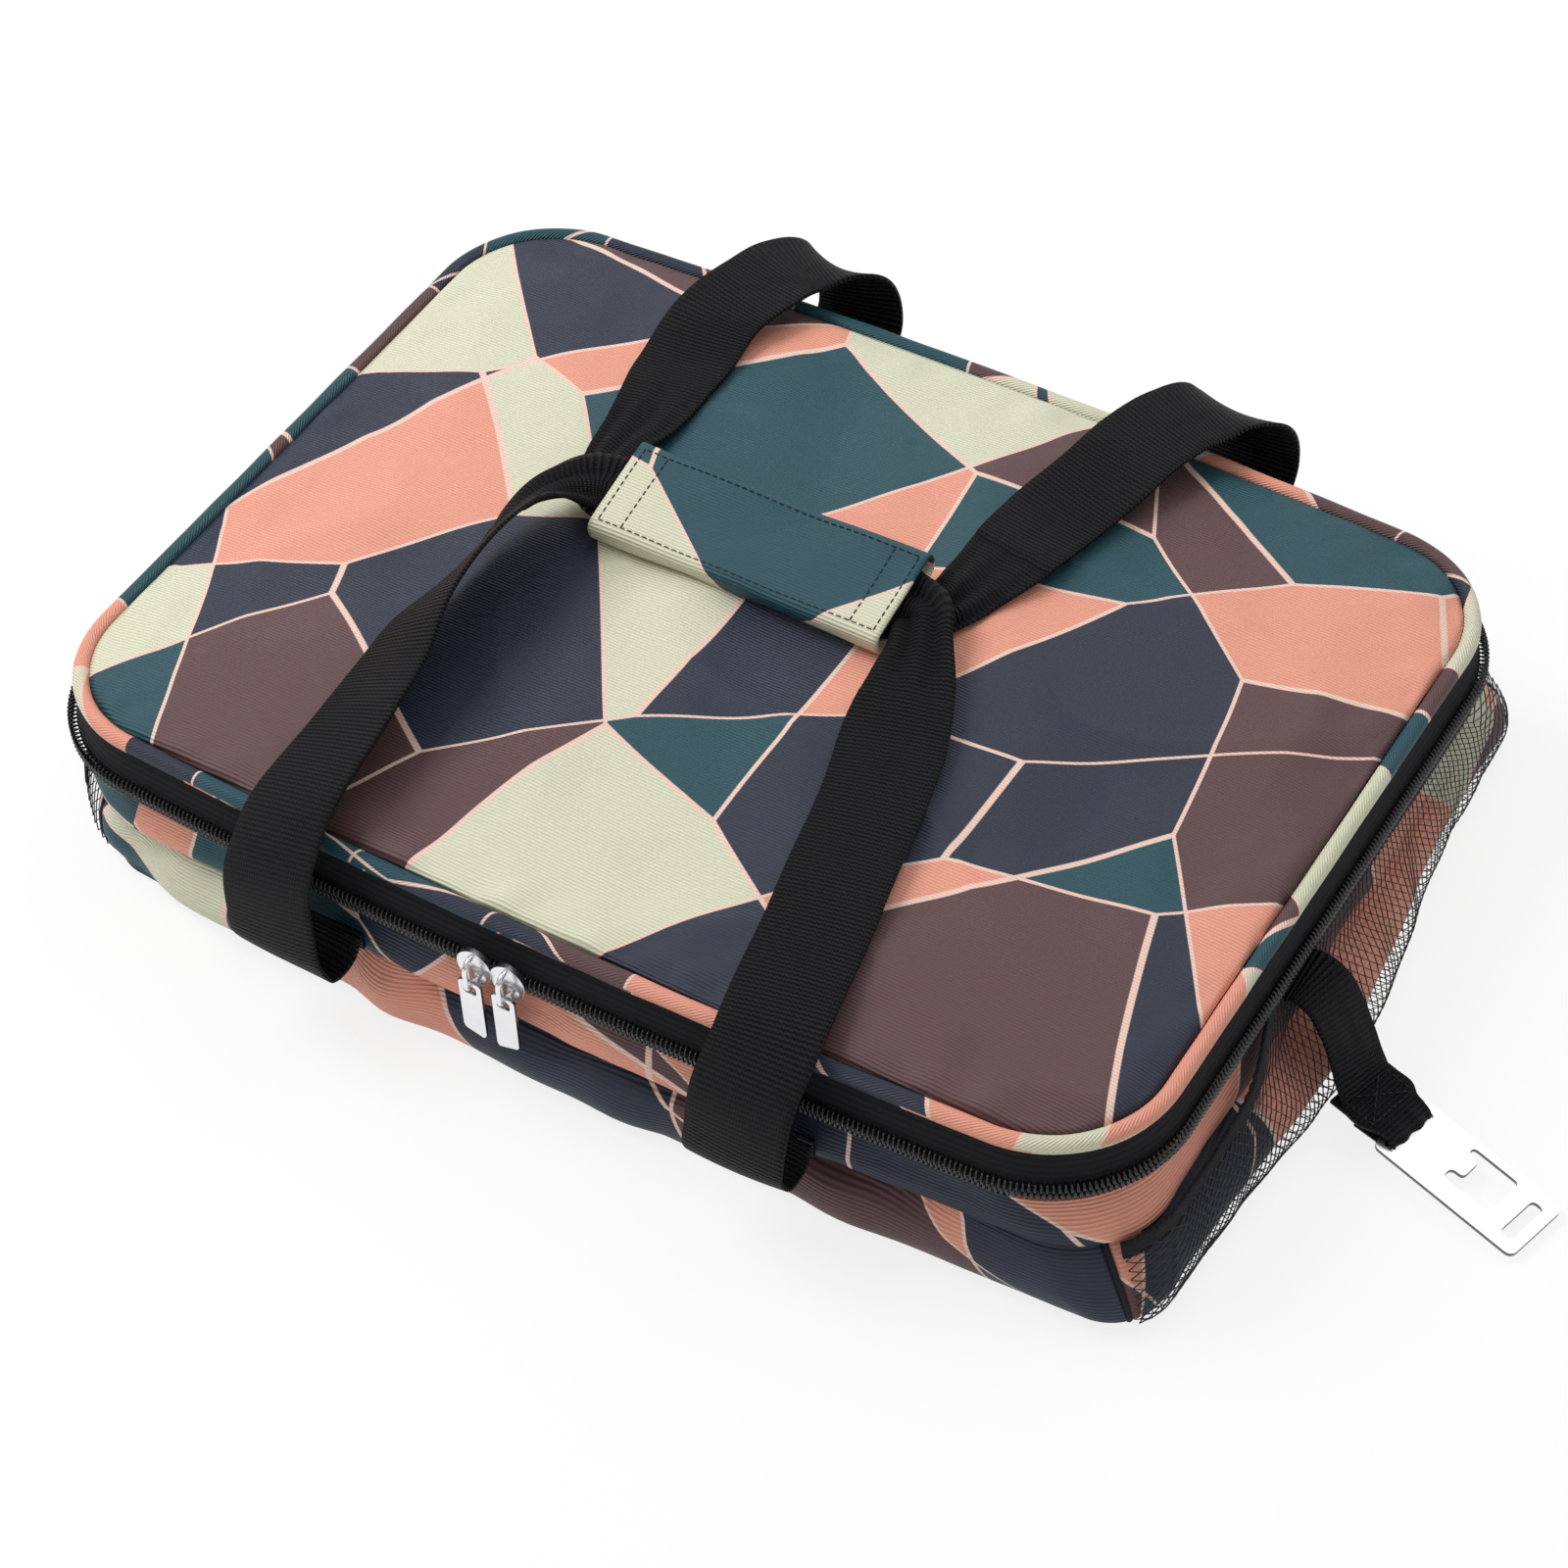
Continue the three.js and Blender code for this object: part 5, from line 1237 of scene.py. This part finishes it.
tab_rows = [(0.225 + x / 1000, y / 1000, z / 1000, turn, lift, share)
            for x, y, z, turn, lift, share in TAB_ROWS]
tab_rows += [(*on_plate(x, 0, z), 75, 0, share) for x, z, share in loop]
tab, length = webbing("tab", tab_rows, TAB_WIDTH, 83, cup=0.0)
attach(tab, "rim")
stands_for("opener_tab")
end_top = clear + 0.0016
end_rows = [(*on_plate(x, 0, z), 75, 0, share) for x, z, share in (
    (-0.0215, end_top, 1.08), (-0.014, end_top, 1.08), (-0.0065, end_top, 1.06), (-0.0025, end_top, 0.88),
    (0.0015, end_top - 0.0001, 0.82), (0.0042, end_top - 0.0014, 0.8), (0.0049, 0.0002, 0.8))]
tab_end, length = webbing("tab_end", end_rows, TAB_WIDTH, 85, cup=0.0, steps=6)
near, far, half = -0.0195, -0.0045, 0.0105
box = [(near, -half), (near, half), (far, half), (far, -half), (near, -half), (far, half)]
tab_stitches = []
for (x0, y0), (x1, y1) in [*zip(box, box[1:]), ((near, half), (far, -half))]:
    t = np.linspace(0, 1, 30)
    run = on_plate(x0 + (x1 - x0) * t, y0 + (y1 - y0) * t, 0 * t + end_top + 0.00085)
    tab_stitches.append(stitch_row(run, opener_up, pitch=0.0028))
tab_thread = tubes("tab_thread", np.concatenate(tab_stitches), 0.00026, THREAD)
for piece in (tab_end, tab_thread):
    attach(piece, "rim")


# Opener: a flat plate of bright brushed steel with a hooked mouth and an end slot.
# It is stamped and tumbled, so its edges are soft. The tab goes round the bar at its near end.
STEEL = metal_finish("steel", (0.93, 0.93, 0.96), 0.2, 0.14)
# A darker copy of the steel for the cut edges: painted shade.
STEEL_PAINTED_SHADE = metal_finish("steel_painted_shade_edge", (0.16, 0.16, 0.17), 0.3, 0.12)
OPENER_LENGTH, OPENER_WIDTH, SLOT = 0.062, 0.028, 0.005


def soft_ring(corners, radius):
    """A closed outline whose corners are cut at a distance and bridged by quadratic curves."""
    corners = np.array(corners)
    ring = []
    for before, here, after in zip(np.roll(corners, 1, axis=0), corners, np.roll(corners, -1, axis=0)):
        cuts = [here + (other - here) * min(radius / np.linalg.norm(other - here), 0.48)
                for other in (before, after)]
        for t in np.linspace(0, 1, 5):
            ring.append(tuple((1 - t) ** 2 * cuts[0] + 2 * t * (1 - t) * here + t * t * cuts[1]))
    return ring


mouth_ring = soft_ring([(0.044, -0.006), (0.044, 0.011), (0.0238, 0.011), (0.0238, 0.0077),
                        (0.0288, 0.0077), (0.0292, -0.0012), (0.0238, -0.0012), (0.0238, -0.006)], 0.0022)
near_ring = round_box(SLOT, 0.022, 0.0015, BAR / 2 + SLOT / 2, 0)
far_ring = round_box(SLOT, 0.018, 0.0018, OPENER_LENGTH - 0.008, 0)
outer_ring = round_box(OPENER_LENGTH, OPENER_WIDTH, 0.003, OPENER_LENGTH / 2 - BAR / 2, 0)
opener_axes = opener_along, opener_across, opener_up
opener = outline_plate("opener_plate", outer_ring, [near_ring, mouth_ring, far_ring], PLATE_THICK, STEEL,
                       STEEL_PAINTED_SHADE, 0.0004, place_matrix(opener_axes, OPENER_BAR_PLACE))
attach(opener, "opener")
stands_for("bottle_opener")
